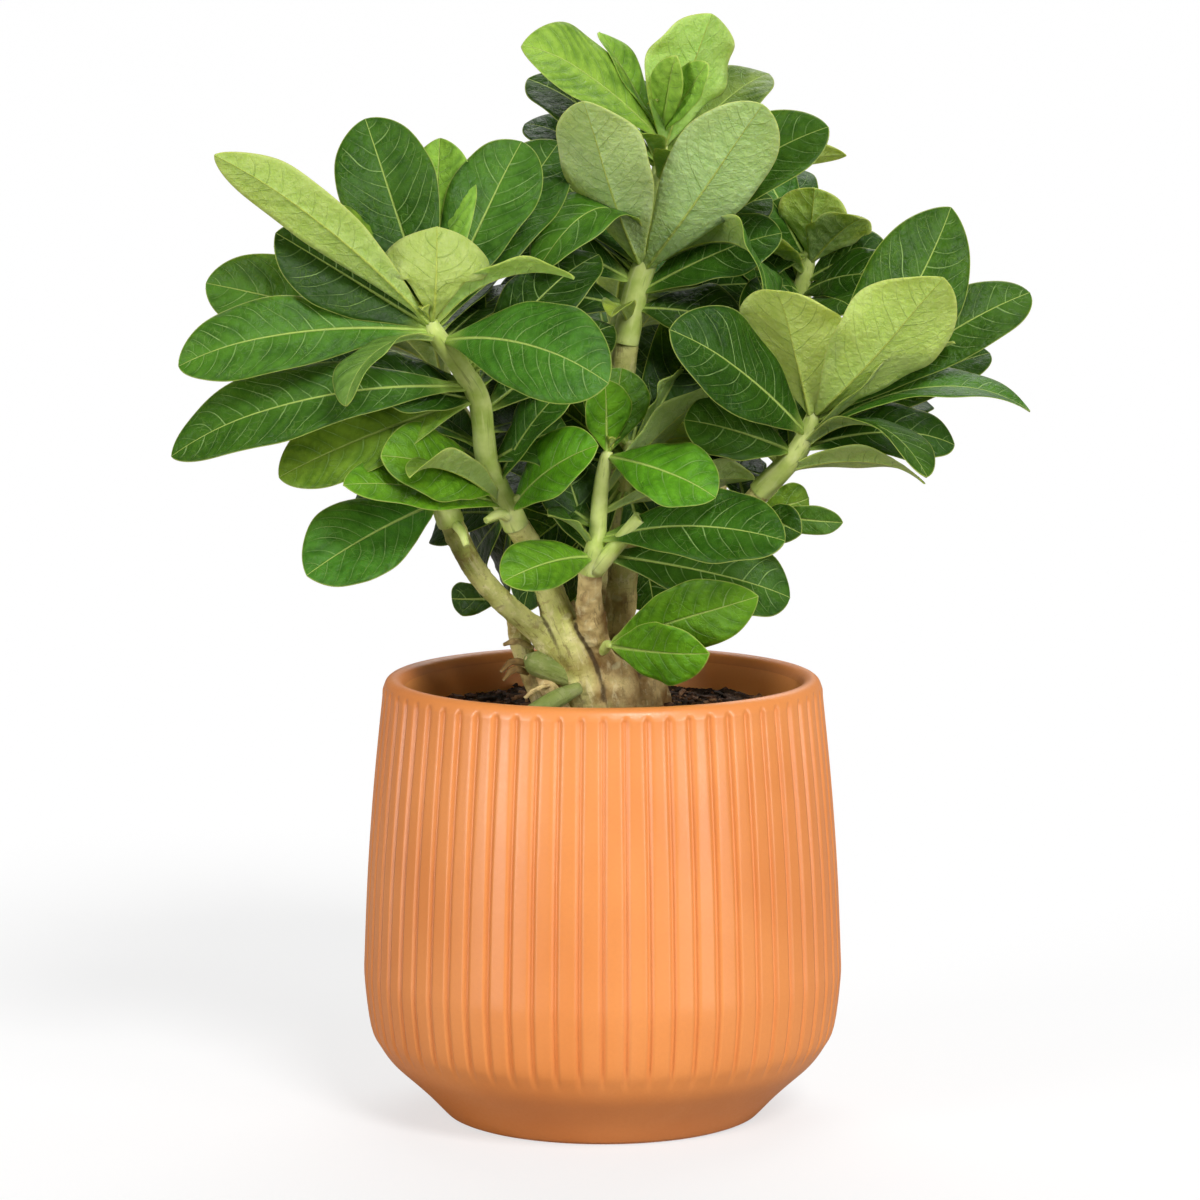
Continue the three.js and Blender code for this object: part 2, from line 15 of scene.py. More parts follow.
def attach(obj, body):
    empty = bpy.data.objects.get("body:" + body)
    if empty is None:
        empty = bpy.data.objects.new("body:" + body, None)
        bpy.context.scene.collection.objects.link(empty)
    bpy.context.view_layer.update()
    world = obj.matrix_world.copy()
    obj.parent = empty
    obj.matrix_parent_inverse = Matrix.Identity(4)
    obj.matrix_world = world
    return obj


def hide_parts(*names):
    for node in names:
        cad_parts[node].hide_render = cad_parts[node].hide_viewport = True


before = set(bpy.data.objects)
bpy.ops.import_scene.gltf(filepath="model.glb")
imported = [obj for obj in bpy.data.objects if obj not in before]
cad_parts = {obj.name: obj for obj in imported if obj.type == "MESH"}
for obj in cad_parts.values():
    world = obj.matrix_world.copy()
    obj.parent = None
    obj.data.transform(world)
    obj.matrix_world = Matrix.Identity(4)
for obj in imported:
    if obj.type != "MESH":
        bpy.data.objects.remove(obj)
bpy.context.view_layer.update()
MM = 0.001
TAU = 2 * math.pi
print("nodes:", sorted(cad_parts))

# %% [markdown]
# ## Camera
#
# The view is a long lens a little above the rim, tilted down by under eight degrees, so the rim
# is a thin ellipse and the pot's sides stay almost upright.

# %% Camera
camera_data = bpy.data.cameras.new("camera")
camera_data.lens = 167.05
camera_data.sensor_width = 36.0
camera_data.clip_end = 100.0
camera = bpy.data.objects.new("camera", camera_data)
camera.location = (-0.0010, -2.0726, 0.4752)
camera.rotation_euler = (math.radians(82.32), 0.0, 0.0)
bpy.context.scene.collection.objects.link(camera)
bpy.context.scene.camera = camera

# %% [markdown]
# ## Helpers for nodes
#
# Every material is a small network. Short helpers keep them readable: they make a node and fill
# its inputs, make a sum, a soft step between two values, a mix of colours or a noise. An input may
# be a number, a colour or the output of another node.

# %% Node helpers
def set_input(tree, socket, value):
    if isinstance(value, bpy.types.NodeSocket):
        tree.links.new(value, socket)
    elif value is not None:
        socket.default_value = value


def add_node(tree, kind, inputs=(), **settings):
    made = tree.nodes.new(kind)
    for name, value in settings.items():
        setattr(made, name, value)
    for key, value in dict(inputs).items():
        set_input(tree, made.inputs[key], value)
    return made


def calc(tree, operation, a, b=None, c=None):
    made = tree.nodes.new("ShaderNodeMath")
    made.operation = operation
    for socket, value in zip(made.inputs, (a, b, c)):
        set_input(tree, socket, value)
    return made.outputs[0]


def soft_step(tree, value, start, end, low=0.0, high=1.0):
    """low where value is at start, high where it is at end, with an eased slope between."""
    made = add_node(tree, "ShaderNodeMapRange", interpolation_type="SMOOTHSTEP")
    for key, item in zip(("Value", "From Min", "From Max", "To Min", "To Max"),
                         (value, start, end, low, high)):
        set_input(tree, made.inputs[key], item)
    return made.outputs["Result"]


def mix_colour(tree, factor, a, b, blend="MIX"):
    made = add_node(tree, "ShaderNodeMix", data_type="RGBA", blend_type=blend)
    set_input(tree, made.inputs["Factor"], factor)
    set_input(tree, made.inputs[6], a)
    set_input(tree, made.inputs[7], b)
    return made.outputs[2]


def noise_at(tree, vector, scale, detail=3.0, rough=0.5):
    made = add_node(tree, "ShaderNodeTexNoise",
                    {"Vector": vector, "Scale": scale, "Detail": detail, "Roughness": rough})
    return made.outputs["Fac"]


def rgb(red, green, blue):
    return (red, green, blue, 1.0)


def srgb(red, green, blue):
    """A colour as a paint chart gives it, 0 to 255, turned into the light values that nodes use."""
    return tuple((part / 255 / 12.92) if part < 11 else ((part / 255 + 0.055) / 1.055) ** 2.4
                 for part in (red, green, blue)) + (1.0,)


def new_material(name):
    material = bpy.data.materials.new(name)
    material.use_nodes = True
    tree = material.node_tree
    return material, tree, tree.nodes["Principled BSDF"]


def bump_normal(tree, shader, height, strength, distance):
    bump = add_node(tree, "ShaderNodeBump",
                    {"Height": height, "Strength": strength, "Distance": distance})
    tree.links.new(bump.outputs["Normal"], shader.inputs["Normal"])


def object_place(tree):
    return tree.nodes.new("ShaderNodeTexCoord").outputs["Object"]


# %% [markdown]
# ## A grain that several finishes share
#
# Fired clay, bark, soil and cut wood all have a fine grain over a broader mottle. Built once as a
# node group, it gives each material two masks at sizes of its own.

# %% The grain group
def new_group(name, inputs, outputs):
    group = bpy.data.node_groups.new(name, "ShaderNodeTree")
    for label, kind, value in inputs:
        socket = group.interface.new_socket(label, in_out="INPUT", socket_type=kind)
        if value is not None:
            socket.default_value = value
    for label in outputs:
        group.interface.new_socket(label, in_out="OUTPUT", socket_type="NodeSocketFloat")
    return group, group.nodes.new("NodeGroupInput"), group.nodes.new("NodeGroupOutput")


def make_grain():
    group, given, result = new_group(
        "grain",
        [("Place", "NodeSocketVector", None), ("Grain Scale", "NodeSocketFloat", 900.0),
         ("Mottle Scale", "NodeSocketFloat", 25.0)],
        ["Grain", "Mottle"])
    place = given.outputs["Place"]
    fine = noise_at(group, place, given.outputs["Grain Scale"], 4.0, 0.65)
    broad = noise_at(group, place, given.outputs["Mottle Scale"], 3.0, 0.55)
    group.links.new(soft_step(group, fine, 0.3, 0.7), result.inputs["Grain"])
    group.links.new(soft_step(group, broad, 0.3, 0.7), result.inputs["Mottle"])
    return group


GRAIN = make_grain()


def add_group(tree, group, **inputs):
    made = tree.nodes.new("ShaderNodeGroup")
    made.node_tree = group
    for name, value in inputs.items():
        set_input(tree, made.inputs[name.replace("_", " ")], value)
    return made


# %% [markdown]
# ## Floor and light
#
# A white studio hides its floor: it stays nearly white to the eye, even in the plant's shadow, yet
# throws little light back up, so the foot of the pot stays deep in colour. Light Path tells the two
# apart. Suns with a wide angle are large soft sources that light the whole floor alike: a high
# key, one low light on each side that draws the pot's upright bands, and one behind.

# %% Floor
FLOOR_WHITE = 0.93
FLOOR_BOUNCE = (0.35, 0.33, 0.31, 1.0)
FLOOR_GLOW = 0.66


def make_floor_finish():
    material, tree, shader = new_material("floor_white")
    seen = tree.nodes.new("ShaderNodeLightPath").outputs["Is Camera Ray"]
    white = rgb(FLOOR_WHITE, FLOOR_WHITE, FLOOR_WHITE)
    tree.links.new(mix_colour(tree, seen, FLOOR_BOUNCE, white), shader.inputs["Base Color"])
    shader.inputs["Roughness"].default_value = 0.9
    shader.inputs["Specular IOR Level"].default_value = 0.1
    glow = add_node(tree, "ShaderNodeEmission", {"Color": rgb(1.0, 1.0, 1.0), "Strength": 1.0})
    share = calc(tree, "MULTIPLY", seen, FLOOR_GLOW)
    both = add_node(tree, "ShaderNodeMixShader", {0: share, 1: shader.outputs[0], 2: glow.outputs[0]})
    tree.links.new(both.outputs[0], tree.nodes["Material Output"].inputs["Surface"])
    return material


def make_floor():
    bm = bmesh.new()
    bmesh.ops.create_grid(bm, x_segments=1, y_segments=1, size=40.0)
    mesh = bpy.data.meshes.new("floor")
    bm.to_mesh(mesh)
    bm.free()
    floor = bpy.data.objects.new("floor", mesh)
    bpy.context.scene.collection.objects.link(floor)
    mesh.materials.append(make_floor_finish())


# %% Light
def add_sun(name, strength, spread, elevation, bearing):
    """bearing is where the light stands: 0 is the front and 90 the right."""
    data = bpy.data.lights.new(name, "SUN")
    data.energy = strength
    data.angle = math.radians(spread)
    sun = bpy.data.objects.new(name, data)
    up, round_ = math.radians(elevation), math.radians(bearing)
    place = Vector((math.sin(round_) * math.cos(up), -math.cos(round_) * math.cos(up), math.sin(up)))
    sun.rotation_euler = place.to_track_quat("Z", "Y").to_euler()
    bpy.context.scene.collection.objects.link(sun)


make_floor()
add_sun("key", 2.0, 18.0, 41.0, 22.0)
add_sun("left_side", 1.52, 22.0, 9.0, -50.0)
add_sun("right_side", 1.30, 22.0, 9.0, 50.0)
add_sun("behind", 1.5, 50.0, 50.0, 172.0)
world = bpy.data.worlds.new("studio")
world.use_nodes = True
world.node_tree.nodes["Background"].inputs["Color"].default_value = rgb(1.0, 1.0, 1.0)
world.node_tree.nodes["Background"].inputs["Strength"].default_value = 0.16
bpy.context.scene.world = world
bpy.context.scene.view_settings.view_transform = "Standard"

# %% [markdown]
# ## From mesh to piece
#
# Each finished bmesh becomes an object at the origin that rides on the root body, stands for its
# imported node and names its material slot.

# %% Finish a piece
def finish_piece(bm, name, materials, nodes=(), smooth=True):
    mesh = bpy.data.meshes.new(name)
    bm.to_mesh(mesh)
    bm.free()
    piece = bpy.data.objects.new(name, mesh)
    bpy.context.scene.collection.objects.link(piece)
    for material in materials:
        mesh.materials.append(material)
    mesh.shade_smooth() if smooth else mesh.shade_flat()
    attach(piece, "root")
    if nodes:
        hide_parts(*nodes)
    print(name, len(mesh.polygons), "faces")
    return piece


# %% [markdown]
# ## Curves
#
# Stems, branches and the pot's wall follow smooth curves through a few points. A Catmull-Rom
# curve passes through every point, so the numbers stay real places on the plant.

# %% Curve helpers
def curve_point(points, share):
    """A point of the curve. Each point holds its place, and may hold a radius after it."""
    last = len(points) - 1
    at = min(max(share, 0.0), 1.0) * last
    k = min(int(at), last - 1)
    w = at - k
    before, after = points[k], points[k + 1]
    earlier = points[k - 1] if k > 0 else [2 * a - b for a, b in zip(before, after)]
    later = points[k + 2] if k + 2 <= last else [2 * b - a for a, b in zip(before, after)]
    result = []
    for p0, p1, p2, p3 in zip(earlier, before, after, later):
        t0, t1 = (p2 - p0) / 2, (p3 - p1) / 2
        result.append(p1 + t0 * w + (3 * (p2 - p1) - 2 * t0 - t1) * w * w
                      + (2 * (p1 - p2) + t0 + t1) * w ** 3)
    return result


def curve_place(points, share):
    return Vector(curve_point(points, share)[:3])


def curve_heading(points, share):
    step = 0.0001
    return (curve_place(points, share + step) - curve_place(points, share - step)).normalized()


def ring_matrix(points, share, radius):
    """Turns a flat unit ring so that it stands across the curve, at its radius."""
    heading = curve_heading(points, share)
    across = heading.cross(Vector((0, -1, 0))).normalized()
    other = heading.cross(across)
    turn = Matrix((across, other, heading)).transposed().to_4x4()
    place = Matrix.Translation(curve_place(points, share) * MM)
    return place @ turn @ Matrix.Scale(radius * MM, 4)


def fibre_place(spot, centre, heading, along):
    """A point in the branch's own directions, two across it and one along, for fibres to follow."""
    across = heading.cross(Vector((0, -1, 0))).normalized()
    away = spot - centre
    return (away.dot(across), away.dot(heading.cross(across)), along)


def add_tube(bm, points, sides, rings, radius_at=None, layer=None):
    """A closed tube along the curve: one capped ring, extruded and moved from place to place.
    Gives its faces, and the cap at its end. The layer gets each point's place round and along."""
    def matrix_at(k):
        share = k / rings
        radius = radius_at(share) if radius_at else curve_point(points, share)[3]
        return ring_matrix(points, share, radius)

    def write_place(k, ring):
        centre = curve_place(points, k / rings)
        for vert in ring:
            vert[layer] = fibre_place(vert.co / MM, centre, curve_heading(points, k / rings), k)

    made = bmesh.ops.create_circle(bm, cap_ends=True, radius=1.0, segments=sides, matrix=matrix_at(0))
    if layer:
        write_place(0, made["verts"])
    cap = made["verts"][0].link_faces[0]
    faces = {cap}
    for k in range(1, rings + 1):
        grown = bmesh.ops.extrude_face_region(bm, geom=[cap])
        ring = [item for item in grown["geom"] if isinstance(item, bmesh.types.BMVert)]
        if k > 1:
            bm.faces.remove(cap)
        cap = next(item for item in grown["geom"] if isinstance(item, bmesh.types.BMFace))
        bmesh.ops.transform(bm, matrix=matrix_at(k) @ matrix_at(k - 1).inverted(), verts=ring)
        if layer:
            write_place(k, ring)
        faces.update(face for vert in ring for face in vert.link_faces)
    faces = [face for face in faces if face.is_valid]
    bmesh.ops.recalc_face_normals(bm, faces=faces)
    return faces, cap


# %% [markdown]
# ## Fired clay
#
# The pot is smooth, warm orange clay with a soft sheen. A single flat colour looks like paint, so
# the finish has a broad mottle, a fine speckle, and paler upright streaks laid by noise.
# The inside is painted paler: painted light that stands in for the light reaching it only after it has
# bounced.

# %% Terracotta
def make_terracotta(name, lift):
    material, tree, shader = new_material(name)
    place = object_place(tree)
    grain = add_group(tree, GRAIN, Place=place, Grain_Scale=700.0, Mottle_Scale=14.0)
    # Paler upright streaks, laid by noise stretched along the pot's height.
    streaks = add_node(tree, "ShaderNodeMapping", {"Vector": place, "Scale": (40.0, 40.0, 5.0)})
    pale_streaks = noise_at(tree, streaks.outputs[0], 1.0, 3.0, 0.6)
    colour = mix_colour(tree, grain.outputs["Mottle"], rgb(0.755, 0.246, 0.055), rgb(0.830, 0.296, 0.076))
    colour = mix_colour(tree, soft_step(tree, pale_streaks, 0.5, 0.8, 0.0, 0.22), colour, rgb(0.88, 0.36, 0.13))
    colour = mix_colour(tree, calc(tree, "MULTIPLY", grain.outputs["Grain"], 0.10),
                        colour, rgb(0.60, 0.19, 0.055))
    # The tint multiplies the colour; on the inside it is painted light that makes the clay paler.
    colour = mix_colour(tree, 1.0, colour, lift, "MULTIPLY")
    tree.links.new(colour, shader.inputs["Base Color"])
    rough = soft_step(tree, grain.outputs["Grain"], 0.0, 1.0, 0.34, 0.40)
    tree.links.new(rough, shader.inputs["Roughness"])
    shader.inputs["Specular IOR Level"].default_value = 0.62
    bump_normal(tree, shader, grain.outputs["Grain"], 0.08, 0.0002)
    return material


# %% [markdown]
# ## The pot
#
# A pot is thrown on a wheel, so it is a profile spun round its axis. The grooves are then pressed
# in by moving the spun points towards the axis: each groove has a round top under the rim and
# fades out above the foot. The spun columns are drawn closer together beside each groove, where
# the surface turns most.

# %% The pot's profile and grooves
POT_WALL = [[0, 0], [30, 0], [54, 0], [56.6, 0.15], [58.6, 0.8], [60.4, 2.2], [66.9, 9.0],
            [72.9, 14.6], [80.1, 21.2], [84.6, 27.4], [87.9, 34.5], [90.1, 52.0], [90.0, 64.0],
            [88.6, 95.0], [86.2, 127.0], [82.9, 159.5], [82.6, 162.8]]
POT_LIP = [[82.6, 162.8], [81.3, 165.7], [78.8, 166.95], [76.0, 165.7], [74.6, 162.8]]
POT_INSIDE = [[74.6, 162.8], [75.2, 140.0], [80.5, 62.0], [76.0, 32.0], [54.0, 7.0], [0, 7.0]]
GROOVES = 64
GROOVE_COLUMNS = 12
GROOVE_HALF = 1.25
GROOVE_DEPTH = 1.25
GROOVE_TOP = 163.2
GROOVE_FADE = (24.5, 35.0)
COLUMN_PULL = 0.66


def groove_cut(across, height):
    """How deep the wall is pressed in, across mm from the middle of a groove."""
    below_top = GROOVE_TOP - height
    if below_top <= 0:
        return 0.0
    half = GROOVE_HALF
    if below_top < GROOVE_HALF:
        half = math.sqrt(GROOVE_HALF ** 2 - (GROOVE_HALF - below_top) ** 2)
    if abs(across) >= half:
        return 0.0
    fade = min(max((height - GROOVE_FADE[0]) / (GROOVE_FADE[1] - GROOVE_FADE[0]), 0.0), 1.0)
    bowl = 1 - (across / half) ** 2
    return GROOVE_DEPTH * (half / GROOVE_HALF) * fade * fade * (3 - 2 * fade) * bowl ** 0.55


def pot_profile():
    wall = [curve_point(POT_WALL, k / 64) for k in range(65)]
    shoulder = [[82.75 + 0.15 * (162.6 - z) / 3.1, z] for z in (160.4, 161.2, 161.8, 162.3)]
    lip = [curve_point(POT_LIP, k / 14) for k in range(1, 14)]
    inside = [curve_point(POT_INSIDE, k / 16) for k in range(17)]
    return [spot for spot in wall if spot[1] < 160.0] + shoulder + lip + inside


INSIDE_TOP = 162.8
# How much paler the inside is painted, as painted light standing in for light bounced into the pot.
INSIDE_PAINTED_LIGHT = (1.2, 1.38, 1.55)


def make_pot():
    bm = bmesh.new()
    spots = pot_profile()
    verts = [bm.verts.new((max(radius, 0.0) * MM, 0.0, height * MM)) for radius, height in spots]
    edges = [bm.edges.new(pair) for pair in zip(verts, verts[1:])]
    bmesh.ops.spin(bm, geom=verts + edges, cent=(0, 0, 0), axis=(0, 0, 1), angle=TAU,
                   steps=GROOVES * GROOVE_COLUMNS, use_merge=True)
    bmesh.ops.remove_doubles(bm, verts=bm.verts, dist=1e-6)
    bmesh.ops.recalc_face_normals(bm, faces=bm.faces)
    bm.normal_update()
    for face in bm.faces:
        centre = face.calc_center_median()
        inwards = face.normal.dot(Vector((centre.x, centre.y, 0))) < 0
        face.material_index = 1 if inwards and centre.z < INSIDE_TOP * MM else 0
    pitch = TAU / GROOVES
    for vert in bm.verts:
        radius, height = vert.co.xy.length / MM, vert.co.z / MM
        if radius < 1e-3:
            continue
        angle = math.atan2(vert.co.y, vert.co.x)
        share = angle / pitch - round(angle / pitch)
        pulled = share - COLUMN_PULL * math.sin(TAU * share) / TAU
        angle += (pulled - share) * pitch
        if vert.normal.dot(Vector((vert.co.x, vert.co.y, 0))) > 0:
            radius -= groove_cut(pulled * pitch * radius, height)
        vert.co.xy = Vector((math.cos(angle), math.sin(angle))) * radius * MM
    finishes = [make_terracotta("terracotta", rgb(1.0, 1.0, 1.0)),
                make_terracotta("terracotta_inside_painted_light", rgb(*INSIDE_PAINTED_LIGHT))]
    return finish_piece(bm, "pot_turned", finishes, ["pot"])


make_pot()

# %% [markdown]
# ## Potting mix
#
# The soil is a rough dark ground that rises slightly to the stem, with crumbs and bark chips
# pressed into it. The ground is one disc moved up and down by noise, and the crumbs are small
# shapes scattered by a seeded draw, so every run lays them alike.

# %% Seeded draws
def make_draw(seed):
    """Numbers from 0 to 1 that are the same on every run."""
    state = [seed]

    def draw(low=0.0, high=1.0):
        state[0] = (state[0] * 1664525 + 1013904223) & 0xFFFFFFFF
        return low + (high - low) * state[0] / 4294967296
    return draw


# %% Soil finish
def make_soil_material(name, dark, pale):
    material, tree, shader = new_material(name)
    grain = add_group(tree, GRAIN, Place=object_place(tree), Grain_Scale=420.0, Mottle_Scale=120.0)
    tone = calc(tree, "MULTIPLY", grain.outputs["Grain"], grain.outputs["Mottle"])
    tree.links.new(mix_colour(tree, tone, dark, pale), shader.inputs["Base Color"])
    tree.links.new(soft_step(tree, tone, 0.0, 1.0, 0.95, 0.7), shader.inputs["Roughness"])
    bump_normal(tree, shader, grain.outputs["Grain"], 0.6, 0.0008)
    return material


# %% The soil
SOIL_RADIUS = 75.3
SOIL_LEVEL = 151.5
SOIL_MOUND = 5.0
SOIL_BED = 138.0
CRUMBS = 2300


def soil_height(x, y):
    from_stem = min(Vector((x - 4, y - 4)).length / (SOIL_RADIUS - 6), 1.0)
    spot = Vector((x, y, 0))
    rough = 2.4 * noise.noise(spot / 9) + 1.5 * noise.noise(spot / 3.2) + 0.9 * noise.noise(spot / 1.4)
    return SOIL_LEVEL + SOIL_MOUND * (1 - from_stem) ** 1.3 + rough


def make_ground(material):
    bm = bmesh.new()
    bmesh.ops.create_grid(bm, x_segments=150, y_segments=150, size=1.0)
    grown = bmesh.ops.extrude_face_region(bm, geom=list(bm.faces), use_keep_orig=True)
    top = {item for item in grown["geom"] if isinstance(item, bmesh.types.BMVert)}
    for vert in bm.verts:
        x, y = vert.co.x, vert.co.y
        vert.co.x = x * math.sqrt(1 - y * y / 2) * SOIL_RADIUS
        vert.co.y = y * math.sqrt(1 - x * x / 2) * SOIL_RADIUS
        vert.co.z = soil_height(vert.co.x, vert.co.y) if vert in top else SOIL_BED
        vert.co *= MM
    bmesh.ops.recalc_face_normals(bm, faces=bm.faces)
    return finish_piece(bm, "soil_ground", [material], ["soil"], smooth=False)


def add_crumb(bm, draw, place, size, flat):
    turn = Matrix.Rotation(draw(0, TAU), 4, "Z") @ Matrix.Rotation(draw(-0.6, 0.6), 4, "X")
    scale = Matrix.Diagonal((draw(0.7, 2.4), draw(0.35, 0.9), flat, 1.0))
    matrix = Matrix.Translation(place * MM) @ turn @ scale @ Matrix.Scale(size * MM, 4)
    made = bmesh.ops.create_icosphere(bm, subdivisions=1, radius=1.0, matrix=matrix)
    for vert in made["verts"]:
        shift = Vector((draw(-1, 1), draw(-1, 1), draw(-1, 1)))
        vert.co += shift * size * 0.25 * MM
    return {face for vert in made["verts"] for face in vert.link_faces}


def make_crumbs(materials):
    bm = bmesh.new()
    draw = make_draw(41)
    for _ in range(CRUMBS):
        angle = draw(0, TAU)
        reach = (SOIL_RADIUS - 2.5) * math.sqrt(draw(0.03, 1.0))
        x, y = reach * math.cos(angle), reach * math.sin(angle)
        size = draw(0.4, 1.3) if draw() < 0.8 else draw(1.3, 3.0)
        place = Vector((x, y, soil_height(x, y) + size * 0.25))
        kind = min(int(draw(0, len(materials))), len(materials) - 1)
        for face in add_crumb(bm, draw, place, size, draw(0.25, 0.7)):
            face.material_index = kind
    return finish_piece(bm, "soil_crumbs", materials, ["soil"], smooth=False)


SOIL_DARK = make_soil_material("soil_dark", srgb(36, 24, 15), srgb(98, 68, 44))
SOIL_BROWN = make_soil_material("bark_chip_brown", srgb(70, 44, 26), srgb(140, 94, 58))
SOIL_PALE = make_soil_material("bark_chip_pale", srgb(100, 68, 42), srgb(190, 144, 98))
make_ground(SOIL_DARK)
make_crumbs([SOIL_DARK, SOIL_BROWN, SOIL_DARK, SOIL_PALE])

# %% [markdown]
# ## The woody body
#
# A desert rose stores water in a swollen stem that parts into branches near the soil. The body is
# grown in one piece, so it is modelled in one: tubes for the branches and squashed spheres for
# the swellings are laid through each other, and a voxel remesh melts them into a single skin.
# The skin is then moved by noise, by rings, and by the oval scars that fallen leaves leave.

# %% The branches
# Each branch holds its points (x, y, z, radius) and how green its bark is at the foot and the end.
BRANCHES = {
    "low_left": ([[-3, -4, 155, 8.5], [-7, -8, 163, 7.6], [-13, -12, 174, 6.0], [-26, -17, 187.5, 4.5],
                  [-37, -22, 198, 4.3], [-48, -26, 211.5, 4.3], [-57, -30, 231, 4.6]], 0.25, 0.85),
    "left": ([[-8, 4, 156, 9], [-10, 2, 170, 8.5], [-16, -3, 187, 6.8], [-21, -13, 205, 5.2],
              [-27, -24, 219, 4.8], [-33, -32, 230, 4.6]], 0.15, 0.80),
    "cut_stub": ([[-4, -9, 158, 8], [-9, -13, 172, 6.6], [-14, -15, 185, 5.9], [-22, -15, 206, 5.0]],
                 0.15, 0.75),
    "centre": ([[5, -8, 158, 8], [2, -12, 172, 4.9], [-1, -15, 181, 4.2], [-4, -19, 190, 5.3],
                [-5, -24, 199, 4.8], [-4, -32, 214, 4.2]], 0.0, 0.10),
    "right": ([[14, 2, 156, 10], [18, -2, 172, 7.5], [29, -8, 194, 5], [44, -14, 219, 4.5],
               [60, -22, 241, 4.2]], 0.0, 0.55),
    "top": ([[3, 10, 155, 9], [5, 14, 178, 6.5], [8, 15, 208, 5.4], [8, 12, 239, 5.1],
             [7, 8, 269, 4.9], [9, 4, 295, 4.7]], 0.0, 0.75),
    "right_back": ([[10, 12, 155, 9], [23, 34, 189, 6], [42, 46, 233, 5], [61, 52, 271, 4.6],
                    [74, 52, 295, 4.2]], 0.0, 0.70),
    "left_back": ([[-4, 14, 154, 8], [-16, 42, 188, 5.5], [-38, 58, 232, 5], [-58, 66, 262, 4.5]],
                  0.0, 0.70),
    "middle_back": ([[1, 14, 156, 8], [-1, 48, 189, 5.2], [-1, 76, 222, 4.7], [1, 90, 248, 4.3]],
                    0.0, 0.70),
}
# Centre and half-sizes of each swelling.
SWELLINGS = [[-7, -7, 157, 8.5, 8, 14], [6, -9, 158, 8.5, 9, 17], [-1, -11, 150, 6, 8, 14],
             [12, -3, 156, 11, 10, 16], [15, 6, 154, 11, 11, 17], [3, 12, 160, 14, 10, 16]]
ROOT_FLOOR = 127.0


def add_swelling(bm, x, y, z, a, b, c):
    matrix = Matrix.Translation(Vector((x, y, z)) * MM) @ Matrix.Diagonal((a * MM, b * MM, c * MM, 1.0))
    bmesh.ops.create_icosphere(bm, subdivisions=4, radius=1.0, matrix=matrix)


def melt_together(bm, voxel):
    """One closed skin round everything in the bmesh, in squares of the voxel's size."""
    mesh = bpy.data.meshes.new("rough")
    bm.to_mesh(mesh)
    bm.free()
    rough = bpy.data.objects.new("rough", mesh)
    bpy.context.scene.collection.objects.link(rough)
    skin = rough.modifiers.new("skin", "REMESH")
    skin.mode = "VOXEL"
    skin.voxel_size = voxel
    melted = rough.evaluated_get(bpy.context.evaluated_depsgraph_get())
    result = bmesh.new()
    result.from_mesh(melted.to_mesh())
    bpy.data.objects.remove(rough)
    bpy.data.meshes.remove(mesh)
    return result


# %% [markdown]
# The skin has to know where on a branch each of its points lies. A k-d tree of samples along each
# branch answers that: the nearest sample gives the greenness, the distance along the branch for the
# rings and fibres, and the place of the scars. A point that lies between two branches is in a
# cleft, where the bark gets painted shade: its colour is darkened there, as in other hollows.

# %% What the bark knows about its branches
SAMPLES_PER_BRANCH = 60
SCAR_TURN = 2.4
SCAR_SPACING = 9.0


def branch_samples():
    samples = []
    for points, foot_green, end_green in BRANCHES.values():
        run = 0.0
        stretch = []
        before = curve_place(points, 0)
        for k in range(SAMPLES_PER_BRANCH + 1):
            share = k / SAMPLES_PER_BRANCH
            place = curve_place(points, share)
            run += (place - before).length
            before = place
            green = foot_green + (end_green - foot_green) * share ** 0.7
            radius = curve_point(points, share)[3]
            stretch.append((place, curve_heading(points, share), green, run, radius))
        samples.append(stretch)
    return samples


def scar_places():
    """A scar for each fallen leaf, a fixed turn further round the branch each time."""
    scars = []
    for number, (points, _, _) in enumerate(BRANCHES.values()):
        length = sum((curve_place(points, k / 20) - curve_place(points, (k - 1) / 20)).length
                     for k in range(1, 21))
        count = int(length / SCAR_SPACING)
        for k in range(1, count):
            share = (k + 0.35 * math.sin(5.1 * k + number)) / count
            matrix = ring_matrix(points, share, curve_point(points, share)[3])
            turn = SCAR_TURN * k + number
            spot = matrix @ Vector((math.cos(turn), math.sin(turn), 0)) / MM
            scars.append((spot, curve_heading(points, share)))
    return scars


def tree_of(places):
    tree = kdtree.KDTree(len(places))
    for k, place in enumerate(places):
        tree.insert(place, k)
    tree.balance()
    return tree


# %% [markdown]
# The bark is moved along its normals. Old wood near the soil is lumpy, and the young branches
# are smooth with low rings. Each scar is a raised oval rim round a shallow dip.

# %% Shape the bark
def bark_relief(spot, green, run, scar_reach):
    old = 1 - green
    lumps = 1.2 * old * old * noise.noise(spot / 9) + 0.6 * (0.2 + old * old) * noise.noise(spot / 4.2)
    folds = 0.8 * old * old * noise.noise(Vector((spot.x / 2.8, spot.y / 2.8, spot.z / 12)))
    grain = folds + 0.14 * (0.3 + old) * noise.noise(spot / 1.6)
    ring_at = run / 8.5 + 0.5 * noise.noise(spot / 30)
    ring = 0.16 * math.exp(-((ring_at - round(ring_at)) * 8.5 / 0.7) ** 2)
    rim = 0.45 * math.exp(-((scar_reach - 1) / 0.35) ** 2) - 0.35 * math.exp(-(scar_reach / 0.6) ** 2)
    return lumps + grain + ring * (0.4 + green) + rim


def scar_distance(spot, scar):
    """1 on the rim of the oval, which lies across the branch."""
    away = spot - scar[0]
    along = away.dot(scar[1])
    return math.hypot(along / 1.3, (away - scar[1] * along).length / 2.3)


def skin_gap(spot, stretch, tree):
    """How far the spot is from a branch's skin, and the branch's sample there."""
    _, k, gap = tree.find(spot)
    return gap - stretch[k][4], stretch[k]


BRANCH_SIDES = 24
BRANCH_RINGS = 40
SKIN_VOXEL = 0.9
SMOOTHINGS = 4
CLEFT_REACH = 0.45
# How much painted shade a cleft adds to the bark.
CLEFT_PAINTED_SHADE = 0.02


